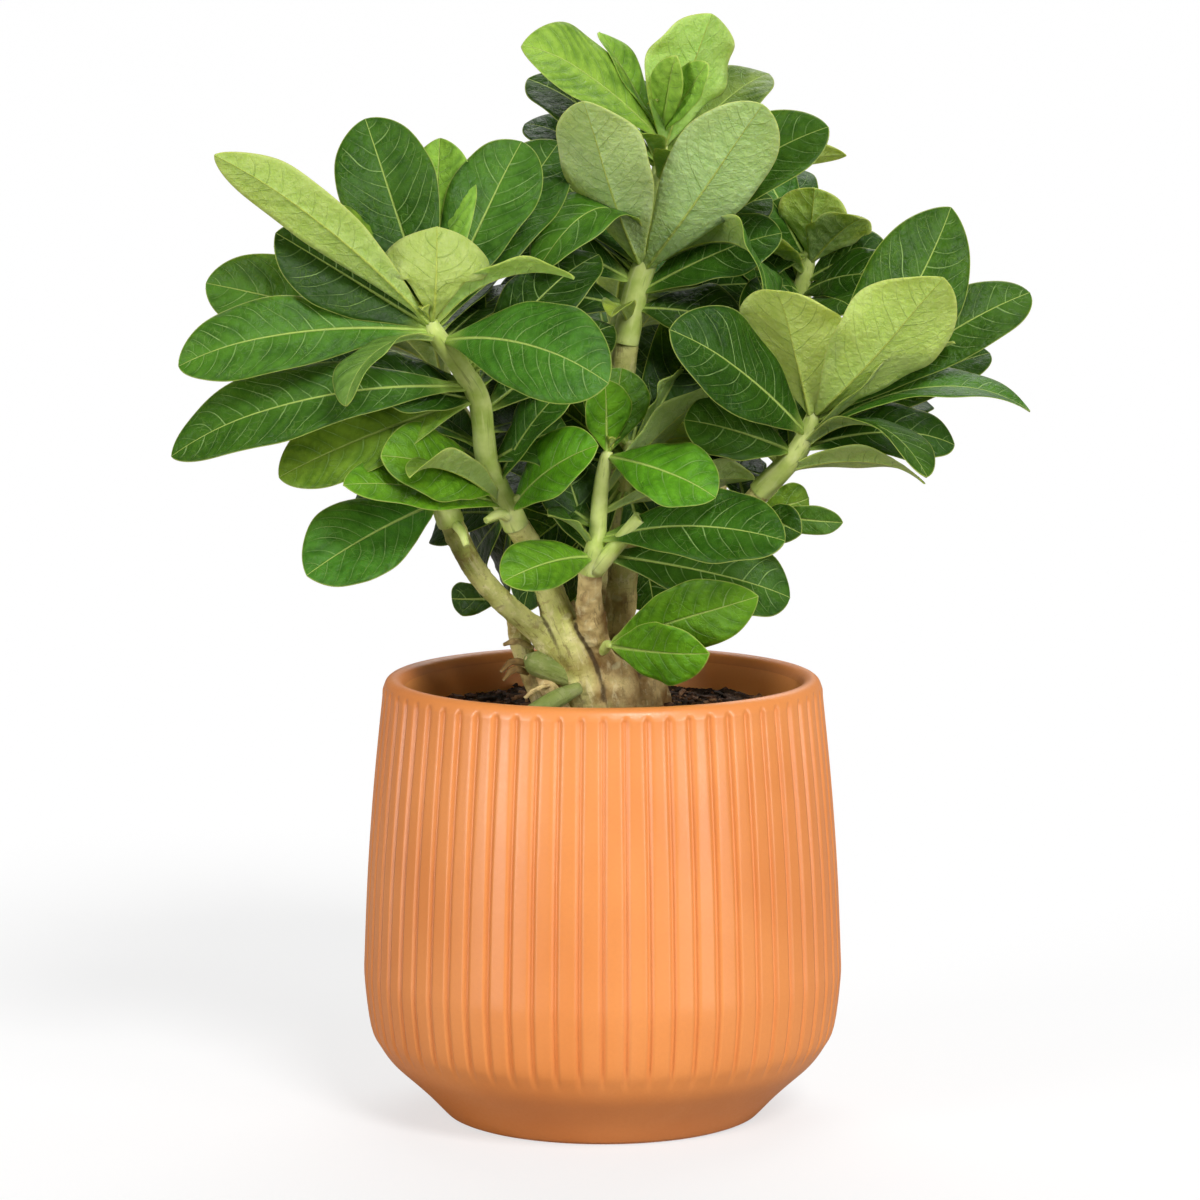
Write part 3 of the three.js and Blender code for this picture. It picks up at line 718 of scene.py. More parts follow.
def make_wood():
    bm = bmesh.new()
    for points, _, _ in BRANCHES.values():
        add_tube(bm, points, BRANCH_SIDES, BRANCH_RINGS)
    for swelling in SWELLINGS:
        add_swelling(bm, *swelling)
    bm = melt_together(bm, SKIN_VOXEL * MM)
    for _ in range(SMOOTHINGS):
        bmesh.ops.smooth_vert(bm, verts=bm.verts, factor=0.5, use_axis_x=True, use_axis_y=True,
                              use_axis_z=True)
    bm.normal_update()
    samples = branch_samples()
    trees = [tree_of([sample[0] for sample in stretch]) for stretch in samples]
    scars = scar_places()
    nearest_scar = tree_of([scar[0] for scar in scars])
    bark = bm.verts.layers.float_vector.new("bark")
    fibre = bm.verts.layers.float_vector.new("fibre")
    moves = []
    for vert in bm.verts:
        spot = vert.co / MM
        found = sorted((skin_gap(spot, stretch, tree) for stretch, tree in zip(samples, trees)),
                       key=lambda item: item[0])
        weights = [math.exp(-(gap - found[0][0]) / 1.5) for gap, _ in found[:3]]
        green = sum(weight * item[1][2] for weight, item in zip(weights, found)) / sum(weights)
        centre, heading, _, run, _ = found[0][1]
        vert[fibre] = fibre_place(spot, centre, heading, run)
        facing = (centre - spot).normalized().dot((found[1][1][0] - spot).normalized())
        cleft = math.exp(-max(found[1][0], 0.0) / CLEFT_REACH) * min(max((0.3 - facing) / 0.8, 0.0), 1.0)
        cleft *= 0.6 + 1.2 * noise.noise(spot / 6)
        _, k, gap = nearest_scar.find(spot)
        reach = scar_distance(spot, scars[k]) if gap < 8 else 9.0
        # How hollow the skin is here, kept as painted shade: hollows and clefts get a darker bark colour.
        painted_hollow_shade = sum(((edge.other_vert(vert).co - vert.co).dot(vert.normal) for edge in vert.link_edges),
                     0.0) / len(vert.link_edges) / MM
        vert[bark] = (green, max(0.0, 1 - abs(reach - 0.5)), painted_hollow_shade + CLEFT_PAINTED_SHADE * cleft)
        moves.append((vert, vert.normal * bark_relief(spot, green, run, reach) * MM))
    for vert, move in moves:
        vert.co += move
        vert.co.z = max(vert.co.z, ROOT_FLOOR * MM)
    bmesh.ops.recalc_face_normals(bm, faces=bm.faces)
    return finish_piece(bm, "woody_skin", [BARK], ["woody_body"])


# %% Bark finish
def make_bark():
    material, tree, shader = new_material("bark")
    place = object_place(tree)
    knows = add_node(tree, "ShaderNodeAttribute", attribute_name="bark")
    parts = add_node(tree, "ShaderNodeSeparateXYZ", {"Vector": knows.outputs["Vector"]})
    green, scar, painted_hollow_shade = parts.outputs[0], parts.outputs[1], parts.outputs[2]
    grain = add_group(tree, GRAIN, Place=place, Grain_Scale=380.0, Mottle_Scale=85.0)
    patches = noise_at(tree, place, 42.0, 4.0, 0.6)
    follows = add_node(tree, "ShaderNodeAttribute", attribute_name="fibre").outputs["Vector"]
    drawn = add_node(tree, "ShaderNodeMapping", {"Vector": follows, "Scale": (0.42, 0.42, 0.09)})
    fibres = noise_at(tree, drawn.outputs[0], 1.0, 5.0, 0.65)
    crossed = add_node(tree, "ShaderNodeMapping", {"Vector": follows, "Scale": (0.12, 0.12, 0.9)})
    wrinkles = noise_at(tree, crossed.outputs[0], 1.0, 4.0, 0.6)
    old = mix_colour(tree, grain.outputs["Mottle"], srgb(140, 106, 56), srgb(230, 206, 142))
    old = mix_colour(tree, soft_step(tree, patches, 0.52, 0.66, 0.0, 0.7), old, srgb(172, 166, 100))
    young = mix_colour(tree, grain.outputs["Mottle"], srgb(176, 178, 88), srgb(222, 220, 140))
    young = mix_colour(tree, soft_step(tree, patches, 0.35, 0.5, 0.55, 0.0), young, srgb(124, 138, 62))
    shift = calc(tree, "ADD", green, calc(tree, "MULTIPLY", calc(tree, "SUBTRACT", patches, 0.5), 0.7))
    colour = mix_colour(tree, soft_step(tree, shift, 0.15, 0.7), old, young)
    # Paler and darker blotches laid by noise.
    pale_dark_blotches = noise_at(tree, place, 95.0, 5.0, 0.7)
    colour = mix_colour(tree, soft_step(tree, pale_dark_blotches, 0.54, 0.66, 0.0, 0.6), colour, srgb(236, 224, 172))
    colour = mix_colour(tree, soft_step(tree, pale_dark_blotches, 0.44, 0.34, 0.0, 0.5), colour, srgb(116, 86, 42))
    colour = mix_colour(tree, soft_step(tree, fibres, 0.56, 0.68, 0.0, 0.45), colour, srgb(232, 220, 172))
    colour = mix_colour(tree, soft_step(tree, fibres, 0.44, 0.34, 0.0, 0.55), colour, srgb(104, 82, 44))
    lines = calc(tree, "MULTIPLY", soft_step(tree, wrinkles, 0.60, 0.68), soft_step(tree, patches, 0.4, 0.6))
    colour = mix_colour(tree, calc(tree, "MULTIPLY", lines, 0.45), colour, srgb(140, 104, 58))
    speck = soft_step(tree, noise_at(tree, place, 1000.0, 2.0, 0.5), 0.64, 0.72, 0.0, 0.35)
    colour = mix_colour(tree, speck, colour, srgb(104, 82, 46))
    colour = mix_colour(tree, soft_step(tree, scar, 0.3, 0.9, 0.0, 0.5), colour, srgb(206, 198, 150))
    colour = mix_colour(tree, soft_step(tree, green, 1.0, 1.3, 0.0, 0.7), colour, srgb(92, 118, 56))
    # Painted shade: the bark is darkened in hollows and clefts.
    colour = mix_colour(tree, soft_step(tree, painted_hollow_shade, 0.010, 0.060, 0.0, 0.78), colour, srgb(60, 44, 26))
    tree.links.new(colour, shader.inputs["Base Color"])
    tree.links.new(soft_step(tree, grain.outputs["Grain"], 0.0, 1.0, 0.55, 0.75), shader.inputs["Roughness"])
    shader.inputs["Specular IOR Level"].default_value = 0.3
    height = calc(tree, "MULTIPLY_ADD", fibres, 1.8, noise_at(tree, place, 200.0, 5.0, 0.7))
    height = calc(tree, "MULTIPLY_ADD", wrinkles, 1.0, height)
    bump_normal(tree, shader, height, 0.6, 0.0008)
    return material


BARK = make_bark()
make_wood()

# %% [markdown]
# Cut stubs and a dead stem stand beside the trunk, with dried scraps of leaf stalk. Each is a short
# tube whose end cap is the cut. They are too small to matter to the plant's shape, but the eye
# looks for them where the branches part.

# %% Stubs beside the trunk
STUBS = [
    ([[-8, -10, 166, 4.4], [-15, -13, 170, 4.8], [-22, -16, 173, 5.0], [-26, -18, 175, 4.4],
      [-28, -18, 176, 2.6], [-28.6, -18.3, 176.3, 0.8]], 1.25),
    ([[-19, -4, 150, 4.6], [-25, -4, 164, 4.2], [-31, -3, 180, 3.9], [-33, -1, 191, 3.2]], 0.35),
    ([[-14, -12, 152, 4.4], [-19, -15, 162, 3.6], [-23, -15, 170, 2.4]], 0.05),
    ([[-32, -37, 156, 1.4], [-26, -32, 158, 3.2], [-17, -25, 162, 3.5], [-9, -18, 165, 2.4]], 1.3),
    ([[-24, -14, 172, 1.0], [-33, -17, 175, 1.3], [-38, -18, 171, 0.6]], 0.0),
    ([[-26, -10, 179, 1.0], [-32, -13, 182, 1.2], [-37, -15, 181, 0.6]], 0.0),
    ([[-28, -14, 170, 1.0], [-33, -18, 172, 1.4], [-37, -19, 168, 0.5]], 0.0),
    ([[-20, -18, 166, 0.8], [-25, -22, 165, 1.0], [-29, -23, 162, 0.5]], 0.0),
    ([[14, -10, 176, 3.0], [17, -11, 186, 2.6], [18, -10, 194, 2.2]], 0.1),
]


def make_stubs():
    bm = bmesh.new()
    bark = bm.verts.layers.float_vector.new("bark")
    fibre = bm.verts.layers.float_vector.new("fibre")
    for points, green in STUBS:
        faces, cut = add_tube(bm, points, 16, 26, None, fibre)
        bm.normal_update()
        for vert in {vert for face in faces for vert in face.verts}:
            spot = vert.co / MM
            vert.co += vert.normal * 0.3 * (1.2 - green) * noise.noise(spot / 2.2) * MM
            # The third value is painted shade, a little darker on the older stubs.
            vert[bark] = (green, 0.0, 0.02 * (1 - green))
        cut.material_index = 1
    return finish_piece(bm, "cut_stubs", [BARK, make_cut_face()])


def make_cut_face():
    material, tree, shader = new_material("cut_face")
    grain = add_group(tree, GRAIN, Place=object_place(tree), Grain_Scale=700.0, Mottle_Scale=240.0)
    colour = mix_colour(tree, grain.outputs["Grain"], srgb(168, 156, 96), srgb(222, 212, 158))
    tree.links.new(colour, shader.inputs["Base Color"])
    shader.inputs["Roughness"].default_value = 0.7
    bump_normal(tree, shader, grain.outputs["Grain"], 0.3, 0.0003)
    return material


make_stubs()

# %% [markdown]
# ## Leaf veins
#
# A leaf shows a thick midrib, side veins that curve towards the tip, a fine net between them and
# a pale margin. The mesh tells the material where each point lies on its own leaf, in millimetres,
# so the veins keep their real size on every leaf and follow it however it bends.
#
# The attribute "blade" holds the distance across, the distance along and the distance from the
# edge. "veins" holds the side veins' phase, the share of the leaf's length and a seed.

# %% The vein group
def line_mask(tree, distance, half_width):
    """1 on a line, falling softly to 0 just outside it."""
    inner = calc(tree, "MULTIPLY", half_width, 0.45)
    outer = calc(tree, "MULTIPLY", half_width, 1.35)
    return soft_step(tree, distance, inner, outer, 1.0, 0.0)


def make_veins():
    group, given, result = new_group(
        "leaf_veins",
        [("Blade", "NodeSocketVector", None), ("Veins", "NodeSocketVector", None)],
        ["Rib", "Side", "Net", "Margin", "Puff", "Crease", "Out"])
    blade = add_node(group, "ShaderNodeSeparateXYZ", {"Vector": given.outputs["Blade"]})
    veins = add_node(group, "ShaderNodeSeparateXYZ", {"Vector": given.outputs["Veins"]})
    across, along, edge = blade.outputs
    phase, share, seed = veins.outputs
    out = calc(group, "ABSOLUTE", across)

    rib_width = calc(group, "MULTIPLY_ADD", calc(group, "SUBTRACT", 1.0, share), 0.62, 0.14)
    rib = line_mask(group, out, rib_width)

    other_side = calc(group, "MULTIPLY", calc(group, "GREATER_THAN", across, 0.0), 0.5)
    at = calc(group, "ADD", phase, other_side)
    nearest = calc(group, "ROUND", at)
    gap = calc(group, "ABSOLUTE", calc(group, "SUBTRACT", at, nearest))
    own = calc(group, "ADD", nearest, calc(group, "MULTIPLY", other_side, 0.7))
    chance = add_node(group, "ShaderNodeTexWhiteNoise", {"W": own}, noise_dimensions="1D").outputs["Value"]
    side_width = calc(group, "MULTIPLY", soft_step(group, edge, 0.0, 8.0, 0.14, 0.26),
                      calc(group, "MULTIPLY_ADD", chance, 0.5, 0.75))
    side = line_mask(group, calc(group, "MULTIPLY", gap, SIDE_VEIN_PITCH), side_width)
    side = calc(group, "MULTIPLY", side, soft_step(group, edge, 0.6, 3.0))
    side = calc(group, "MULTIPLY", side, soft_step(group, share, 0.10, 0.22))
    side = calc(group, "MULTIPLY", side, calc(group, "MULTIPLY_ADD", chance, 0.5, 0.5))

    flat = add_node(group, "ShaderNodeCombineXYZ", {"X": across, "Y": along, "Z": seed})
    fade = noise_at(group, flat.outputs[0], 0.11, 2.0, 0.5)
    side = calc(group, "MULTIPLY", side, soft_step(group, fade, 0.36, 0.56, 0.3, 1.0))
    wobble = add_node(group, "ShaderNodeTexNoise", {"Vector": flat.outputs[0], "Scale": 0.18})
    moved = add_node(group, "ShaderNodeVectorMath",
                     {0: wobble.outputs["Color"], 1: (5.0, 5.0, 0.0), 2: flat.outputs[0]},
                     operation="MULTIPLY_ADD")
    cells = add_node(group, "ShaderNodeTexVoronoi", {"Vector": moved.outputs[0], "Scale": 0.30},
                     feature="DISTANCE_TO_EDGE", voronoi_dimensions="2D")
    net = soft_step(group, cells.outputs["Distance"], 0.0, 0.10, 1.0, 0.0)
    net = calc(group, "MULTIPLY", net, soft_step(group, edge, 0.6, 2.5))
    net = calc(group, "MULTIPLY", net, soft_step(group, fade, 0.45, 0.62, 0.15, 1.0))

    margin = soft_step(group, edge, 0.10, 0.42, 1.0, 0.0)
    puff = calc(group, "COSINE", calc(group, "MULTIPLY", at, TAU))
    puff = calc(group, "MULTIPLY_ADD", puff, -0.5, 0.5)
    crease = noise_at(group, flat.outputs[0], 0.30, 3.0, 0.55)
    masks = {"Rib": rib, "Side": side, "Net": net, "Margin": margin, "Puff": puff, "Crease": crease,
             "Out": out}
    for name, mask in masks.items():
        group.links.new(mask, result.inputs[name])
    return group


SIDE_VEIN_PITCH = 6.4
VEINS = make_veins()


# %% [markdown]
# ## Leaf finishes
#
# The upper face is waxy and dark with thin pale veins. The underside is paler and duller, its
# veins stand out, and its fine net shows. Each leaf carries its own colour in the attribute "tone",
# because young leaves are yellow-green and old ones deep green.

# %% Leaf and stem finishes
def leaf_inputs(tree):
    blade = add_node(tree, "ShaderNodeAttribute", attribute_name="blade")
    veins = add_node(tree, "ShaderNodeAttribute", attribute_name="veins")
    tone = add_node(tree, "ShaderNodeAttribute", attribute_name="tone")
    masks = add_group(tree, VEINS, Blade=blade.outputs["Vector"], Veins=veins.outputs["Vector"])
    share = add_node(tree, "ShaderNodeSeparateXYZ", {"Vector": veins.outputs["Vector"]}).outputs[1]
    return masks.outputs, tone.outputs["Color"], share


def let_light_through(shader, weight):
    """A blade is so thin that some of the light that falls on one face comes out of the other."""
    shader.inputs["Subsurface Weight"].default_value = weight
    shader.inputs["Subsurface Radius"].default_value = (1.0, 1.0, 0.35)
    shader.inputs["Subsurface Scale"].default_value = 0.003


def make_leaf_top():
    material, tree, shader = new_material("leaf_upper")
    masks, tone, share = leaf_inputs(tree)
    place = object_place(tree)
    grain = add_group(tree, GRAIN, Place=place, Grain_Scale=1500.0, Mottle_Scale=110.0)
    # A paler copy of the tone: painted highlight on the puffs between the veins, and a real paler band along
    # the midrib.
    pale_and_painted_highlight = mix_colour(tree, 1.0, tone, rgb(1.85, 1.65, 1.75), "MULTIPLY")
    deep = mix_colour(tree, 1.0, tone, rgb(0.50, 0.60, 0.46), "MULTIPLY")
    colour = mix_colour(tree, grain.outputs["Mottle"], deep, tone)
    # Painted highlight: the puffs between the side veins are painted lighter, in patches set by the crease
    # noise.
    light = calc(tree, "MULTIPLY", masks["Puff"], soft_step(tree, masks["Crease"], 0.35, 0.65, 0.1, 0.4))
    colour = mix_colour(tree, light, colour, pale_and_painted_highlight)
    colour = mix_colour(tree, soft_step(tree, masks["Out"], 0.5, 6.0, 0.35, 0.0), colour, pale_and_painted_highlight)
    colour = mix_colour(tree, calc(tree, "MULTIPLY", masks["Net"], 0.16), colour, srgb(140, 176, 84))
    green = add_node(tree, "ShaderNodeSeparateColor", {"Color": tone}).outputs["Green"]
    strength = soft_step(tree, green, 0.08, 0.30, 0.66, 0.42)
    colour = mix_colour(tree, calc(tree, "MULTIPLY", masks["Side"], strength), colour, srgb(164, 198, 118))
    colour = mix_colour(tree, calc(tree, "MULTIPLY", masks["Rib"], 0.76), colour, srgb(182, 204, 106))
    colour = mix_colour(tree, calc(tree, "MULTIPLY", masks["Margin"], 0.6), colour, srgb(174, 190, 92))
    colour = mix_colour(tree, soft_step(tree, share, 0.02, 0.18, 0.85, 0.0), colour, srgb(166, 192, 88))
    tree.links.new(colour, shader.inputs["Base Color"])
    rough = soft_step(tree, masks["Crease"], 0.3, 0.7, 0.30, 0.46)
    tree.links.new(rough, shader.inputs["Roughness"])
    shader.inputs["Specular IOR Level"].default_value = 0.17
    let_light_through(shader, 0.2)
    veins = calc(tree, "ADD", masks["Side"], masks["Rib"])
    height = calc(tree, "SUBTRACT", calc(tree, "MULTIPLY", masks["Crease"], 2.2), veins)
    height = calc(tree, "MULTIPLY_ADD", masks["Net"], -0.35, height)
    height = calc(tree, "MULTIPLY_ADD", grain.outputs["Grain"], 0.10, height)
    bump_normal(tree, shader, height, 0.7, 0.0006)
    return material


def make_leaf_under():
    material, tree, shader = new_material("leaf_underside")
    masks, tone, share = leaf_inputs(tree)
    grain = add_group(tree, GRAIN, Place=object_place(tree), Grain_Scale=1300.0, Mottle_Scale=90.0)
    pale = mix_colour(tree, 0.42, tone, srgb(206, 226, 150))
    dull = mix_colour(tree, 0.40, tone, srgb(180, 206, 124))
    colour = mix_colour(tree, soft_step(tree, masks["Crease"], 0.3, 0.7), dull, pale)
    colour = mix_colour(tree, calc(tree, "MULTIPLY", masks["Net"], 0.16), colour, srgb(126, 152, 72))
    colour = mix_colour(tree, calc(tree, "MULTIPLY", masks["Side"], 0.40), colour, srgb(120, 148, 66))
    colour = mix_colour(tree, calc(tree, "MULTIPLY", masks["Rib"], 0.75), colour, srgb(178, 190, 84))
    colour = mix_colour(tree, calc(tree, "MULTIPLY", masks["Margin"], 0.7), colour, srgb(188, 196, 98))
    colour = mix_colour(tree, soft_step(tree, share, 0.02, 0.18, 0.85, 0.0), colour, srgb(172, 194, 96))
    tree.links.new(colour, shader.inputs["Base Color"])
    tree.links.new(soft_step(tree, grain.outputs["Grain"], 0.0, 1.0, 0.46, 0.58), shader.inputs["Roughness"])
    shader.inputs["Specular IOR Level"].default_value = 0.3
    let_light_through(shader, 0.45)
    veins = calc(tree, "ADD", calc(tree, "MULTIPLY", masks["Side"], 1.5), masks["Rib"])
    height = calc(tree, "MULTIPLY_ADD", masks["Net"], 0.35, veins)
    height = calc(tree, "MULTIPLY_ADD", masks["Crease"], 3.4, height)
    height = calc(tree, "MULTIPLY_ADD", grain.outputs["Grain"], 0.12, height)
    bump_normal(tree, shader, height, 0.7, 0.0005)
    return material


def make_young_stem():
    material, tree, shader = new_material("young_stem")
    place = object_place(tree)
    grain = add_group(tree, GRAIN, Place=place, Grain_Scale=500.0, Mottle_Scale=110.0)
    along = add_node(tree, "ShaderNodeAttribute", attribute_name="blade")
    drawn = add_node(tree, "ShaderNodeMapping",
                     {"Vector": along.outputs["Vector"], "Scale": (0.5, 0.5, 0.06)})
    fibres = noise_at(tree, drawn.outputs[0], 1.0, 4.0, 0.6)
    colour = mix_colour(tree, grain.outputs["Mottle"], srgb(176, 198, 92), srgb(214, 226, 140))
    colour = mix_colour(tree, soft_step(tree, fibres, 0.42, 0.34, 0.0, 0.5), colour, srgb(120, 142, 58))
    colour = mix_colour(tree, soft_step(tree, fibres, 0.58, 0.68, 0.0, 0.5), colour, srgb(222, 230, 160))
    tree.links.new(colour, shader.inputs["Base Color"])
    tree.links.new(soft_step(tree, grain.outputs["Grain"], 0.0, 1.0, 0.42, 0.58), shader.inputs["Roughness"])
    shader.inputs["Specular IOR Level"].default_value = 0.3
    let_light_through(shader, 0.3)
    bump_normal(tree, shader, calc(tree, "MULTIPLY", fibres, 2.0), 0.35, 0.0003)
    return material


SHOOT_FINISHES = [make_leaf_top(), make_leaf_under(), make_young_stem()]
STEM_FINISH = 2

# %% [markdown]
# ## One leaf
#
# Every leaf is the same flat grid, given a back by an extrusion and then bent to its own place.
# The columns are drawn towards the midrib and the rows towards the tip, where the shape turns
# fastest. A leaf is written as the point on the stem where it grows, the place of its tip, its
# width, how far it arches, how much of its face it shows, its cup, a sideways bow and its tone.

# %% The leaf grid
LEAF_COLUMNS = 20
LEAF_ROWS = 46
COLUMN_DRAW = 1.5
TIP_DRAW = 1.4


def make_leaf_grid():
    bm = bmesh.new()
    bmesh.ops.create_grid(bm, x_segments=LEAF_COLUMNS, y_segments=LEAF_ROWS, size=1.0)
    under = list(bm.faces)
    grown = bmesh.ops.extrude_face_region(bm, geom=under, use_keep_orig=True)
    for face in under:
        face.material_index = 1
    for item in grown["geom"]:
        if isinstance(item, bmesh.types.BMVert):
            item.co.z = 1.0
    bmesh.ops.recalc_face_normals(bm, faces=bm.faces)
    for vert in bm.verts:
        u, s = vert.co.x, (vert.co.y + 1) / 2
        vert.co.x = math.copysign(abs(u) ** COLUMN_DRAW, u)
        vert.co.y = 1 - (1 - s) ** TIP_DRAW
    mesh = bpy.data.meshes.new("leaf_grid")
    bm.to_mesh(mesh)
    bm.free()
    return mesh


LEAF_GRID = make_leaf_grid()
print("leaf grid:", len(LEAF_GRID.polygons), "faces")

# %% [markdown]
# The outline is a power curve on each side of the widest point, which lies two thirds of the way
# to the tip. The blade is thin at its edge, thicker along the middle, and has a round stalk.

# %% The leaf's form
RISE = 1.32
FALL = 0.62
STALK_HALF = 1.5
FOOT_FLARE = 1.1
TIP_HALF = 0.25


def outline(t, fall):
    widest = RISE / (RISE + fall)
    return (max(t, 0.0) / widest) ** RISE * (max(1 - t, 0.0) / (1 - widest)) ** fall


def half_width(t, length, width, fall, buried):
    """Half the blade's width. It stays slim until it has left the stem, buried mm from its base."""
    if t > 0.5:
        return max(TIP_HALF, width / 2 * outline(t, fall))
    y = max(t * length, 0.0)
    foot = FOOT_FLARE * math.exp(-max(y - buried, 0.0) / 6) * width / 30
    half = max(min(STALK_HALF, width / 8), width / 2 * outline(t, fall)) + foot
    return min(half, 0.42 * buried + 0.7 * max(y - buried, 0.0))


def half_thickness(u, t, length, buried):
    stalk = min(1.0 * math.exp(-t * length / 7) * min(1.0, length / 50), 0.25 * buried)
    return 0.09 + (0.19 + stalk) * math.sqrt(max(1 - u * u, 0.0))


def leaf_frame(stem, along, tip, arch, show, bow):
    """Where the leaf grows, its chord, the direction across it, and how far its middle bends."""
    base = curve_place(stem, along)
    axis = curve_heading(stem, along)
    chord = Vector(tip) - base
    heading = chord.normalized()
    natural = (axis - heading * axis.dot(heading)).normalized()
    wanted = natural * (1 - abs(show)) + Vector((0, -1, 0)) * show
    upper = (wanted - heading * wanted.dot(heading)).normalized()
    across = heading.cross(upper)
    sideways = across * (bow if across.z > 0 else -bow)
    return base, chord, across, upper * arch + sideways


def add_leaf(bm, layers, stem, leaf, draw):
    along, tip, width, arch, show, cup, bow, tone = leaf
    base, chord, across, bend = leaf_frame(stem, along, tip, arch, show, bow)
    length = chord.length
    buried = curve_point(stem, along)[3]
    seed, twist, ripple = draw(0, 40), math.radians(draw(-9, 9)), draw(1.6, 3.2)
    fall, curl, wave = draw(FALL - 0.06, FALL + 0.14), draw(0.5, 4.5), draw(0.7, 1.5)
    colour = [part * draw(0.9, 1.1) for part in tone[:3]] + [1.0]
    first = len(bm.verts)
    bm.from_mesh(LEAF_GRID)
    bm.verts.ensure_lookup_table()
    blade, veins, tint = layers
    for vert in bm.verts[first:]:
        u, t, top = vert.co
        half = half_width(t, length, width, fall, buried)
        slope = chord + bend * (4 - 8 * t)
        normal = across.cross(slope).normalized()
        uneven = 1 + 0.05 * noise.noise(Vector((5.5 * t, math.copysign(3.0, u), seed)))
        half *= uneven if abs(u) > 0.01 else 1.0
        x, y = u * half, t * length
        ahead, behind = (half_width(t + step, length, width, fall, buried) for step in (0.01, -0.01))
        taper = (ahead - behind) / (0.02 * length)
        edge = (half - abs(x)) / math.hypot(1, taper)
        side = 0.5 if x > 0 else 0.0
        out = abs(x)
        grown = min(max((t - 0.2) / 0.25, 0.0), 1.0)
        wander = 0.45 * noise.noise(Vector((x / 15, y / 12, seed)))
        bent = 0.42 * out + 0.036 * out * out + 3.0 * math.exp(-edge / 2.4)
        phase = (y - bent) / SIDE_VEIN_PITCH + seed + wander
        puff = 0.5 - 0.5 * math.cos(TAU * (phase + side))
        lift = 0.42 * puff * grown * min(out / 4, 1.0) * min(edge / 4, 1.0)
        lift += wave * grown * u * u * math.sin(TAU * (ripple * t + seed + 0.37 * side)) * half / 15
        lift -= curl * (max(t - 0.7, 0.0) / 0.3) ** 2 * length / 70
        lift += 1.1 * grown * noise.noise(Vector((x / 17, y / 17, seed + 9))) * abs(u)
        thick = half_thickness(u, t, length, buried)
        if top > 0.5:
            lift += thick - 0.35 * (1 - t) * math.exp(-(x / 0.8) ** 2) * min(t / 0.1, 1.0)
        else:
            ridge = (0.75 * (1 - t) + 0.15) * min(1.0, 0.3 + t * length / 8)
            lift -= thick + ridge * math.exp(-(x / (0.5 + 0.7 * (1 - t))) ** 2)
        turn = twist * (t - 0.2)
        sideways = across * math.cos(turn) + normal * math.sin(turn)
        cupped = cup * half * (math.sqrt(u * u + 0.02) - 0.141)
        place = base + chord * t + bend * 4 * t * (1 - t) + sideways * x + normal * (cupped + lift)
        vert.co = place * MM
        vert[blade] = (x, y, edge)
        vert[veins] = (phase, t, seed)
        vert[tint] = colour


# %% [markdown]
# ## A leafy shoot
#
# A shoot is one grown piece: a soft green stem, its leaves, and a bud of tiny leaves at its end.
# Leaves that the eye meets first are placed one by one, and the rest are filled in round the stem
# by a rule, their heights a golden step apart and their bearings spread across a sector.

# %% Shoot helpers
def fill_leaves(stem, seed, count, start, end):
    """Leaves round the stem between two bearings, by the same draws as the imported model."""
    draw = make_draw(seed)

    def between(low, high, share):
        return low + (high - low) * share

    leaves = []
    for k in range(count):
        height = (k * 0.618) % 1
        along = between(0.25, 0.95, height)
        sector = (k + between(0.2, 0.8, draw())) / count
        bearing = math.radians(between(start, end, sector))
        angle = math.radians(between(75.5, 40.5, height) + 14 * (draw() - 0.5))
        length = between(77, 63, height) + 10 * (draw() - 0.5)
        axis = curve_heading(stem, along)
        back = (Vector((0, 1, 0)) - axis * axis.y).normalized()
        right = back.cross(axis)
        reach = length * math.sin(angle)
        tip = (curve_place(stem, along) + axis * length * math.cos(angle)
               + back * reach * math.cos(bearing) + right * reach * math.sin(bearing))
        width = length * between(0.36, 0.42, draw())
        arch = between(4, 10, draw())
        tone = FILL_TONES[k % len(FILL_TONES)]
        leaves.append((along, tip, width, arch, 0.0, 0.12, 0.0, tone))
    return leaves


def bud_leaves(stem, draw, size):
    """A tuft of tiny folded leaves at the end of the stem."""
    axis = curve_heading(stem, 1.0)
    back = (Vector((0, 1, 0)) - axis * axis.y).normalized()
    right = back.cross(axis)
    leaves = []
    for k in range(6):
        bearing = 2.4 * k
        lean = math.radians(12 + 7 * k)
        length = size * (0.6 + 0.1 * k) * draw(0.9, 1.1)
        away = back * math.cos(bearing) + right * math.sin(bearing)
        tip = curve_place(stem, 0.96) + (axis * math.cos(lean) + away * math.sin(lean)) * length
        leaves.append((0.96, tip, length * 0.36, 1.5, 0.0, 0.5, 0.0, TONES["lime"]))
    return leaves


STEM_SUNK = 3
STEM_SIDES = 18
STEM_RINGS = 60
STEM_WIDEN = 1.08
STEM_UNEVEN = 0.05
STEM_LUMP = 9


def add_stem(bm, stem, layer):
    """The stem starts a little inside the wood. Its faces know their place along and round it."""
    inside = Vector(stem[0][:3]) - curve_heading(stem, 0) * STEM_SUNK
    sunk = [[*inside, stem[0][3]]] + stem

    def radius_at(share):
        lump = noise.noise(curve_place(sunk, share) / STEM_LUMP)
        return curve_point(sunk, share)[3] * (STEM_WIDEN + STEM_UNEVEN * lump)

    faces = add_tube(bm, sunk, STEM_SIDES, STEM_RINGS, radius_at, layer)[0]
    for face in faces:
        face.material_index = STEM_FINISH


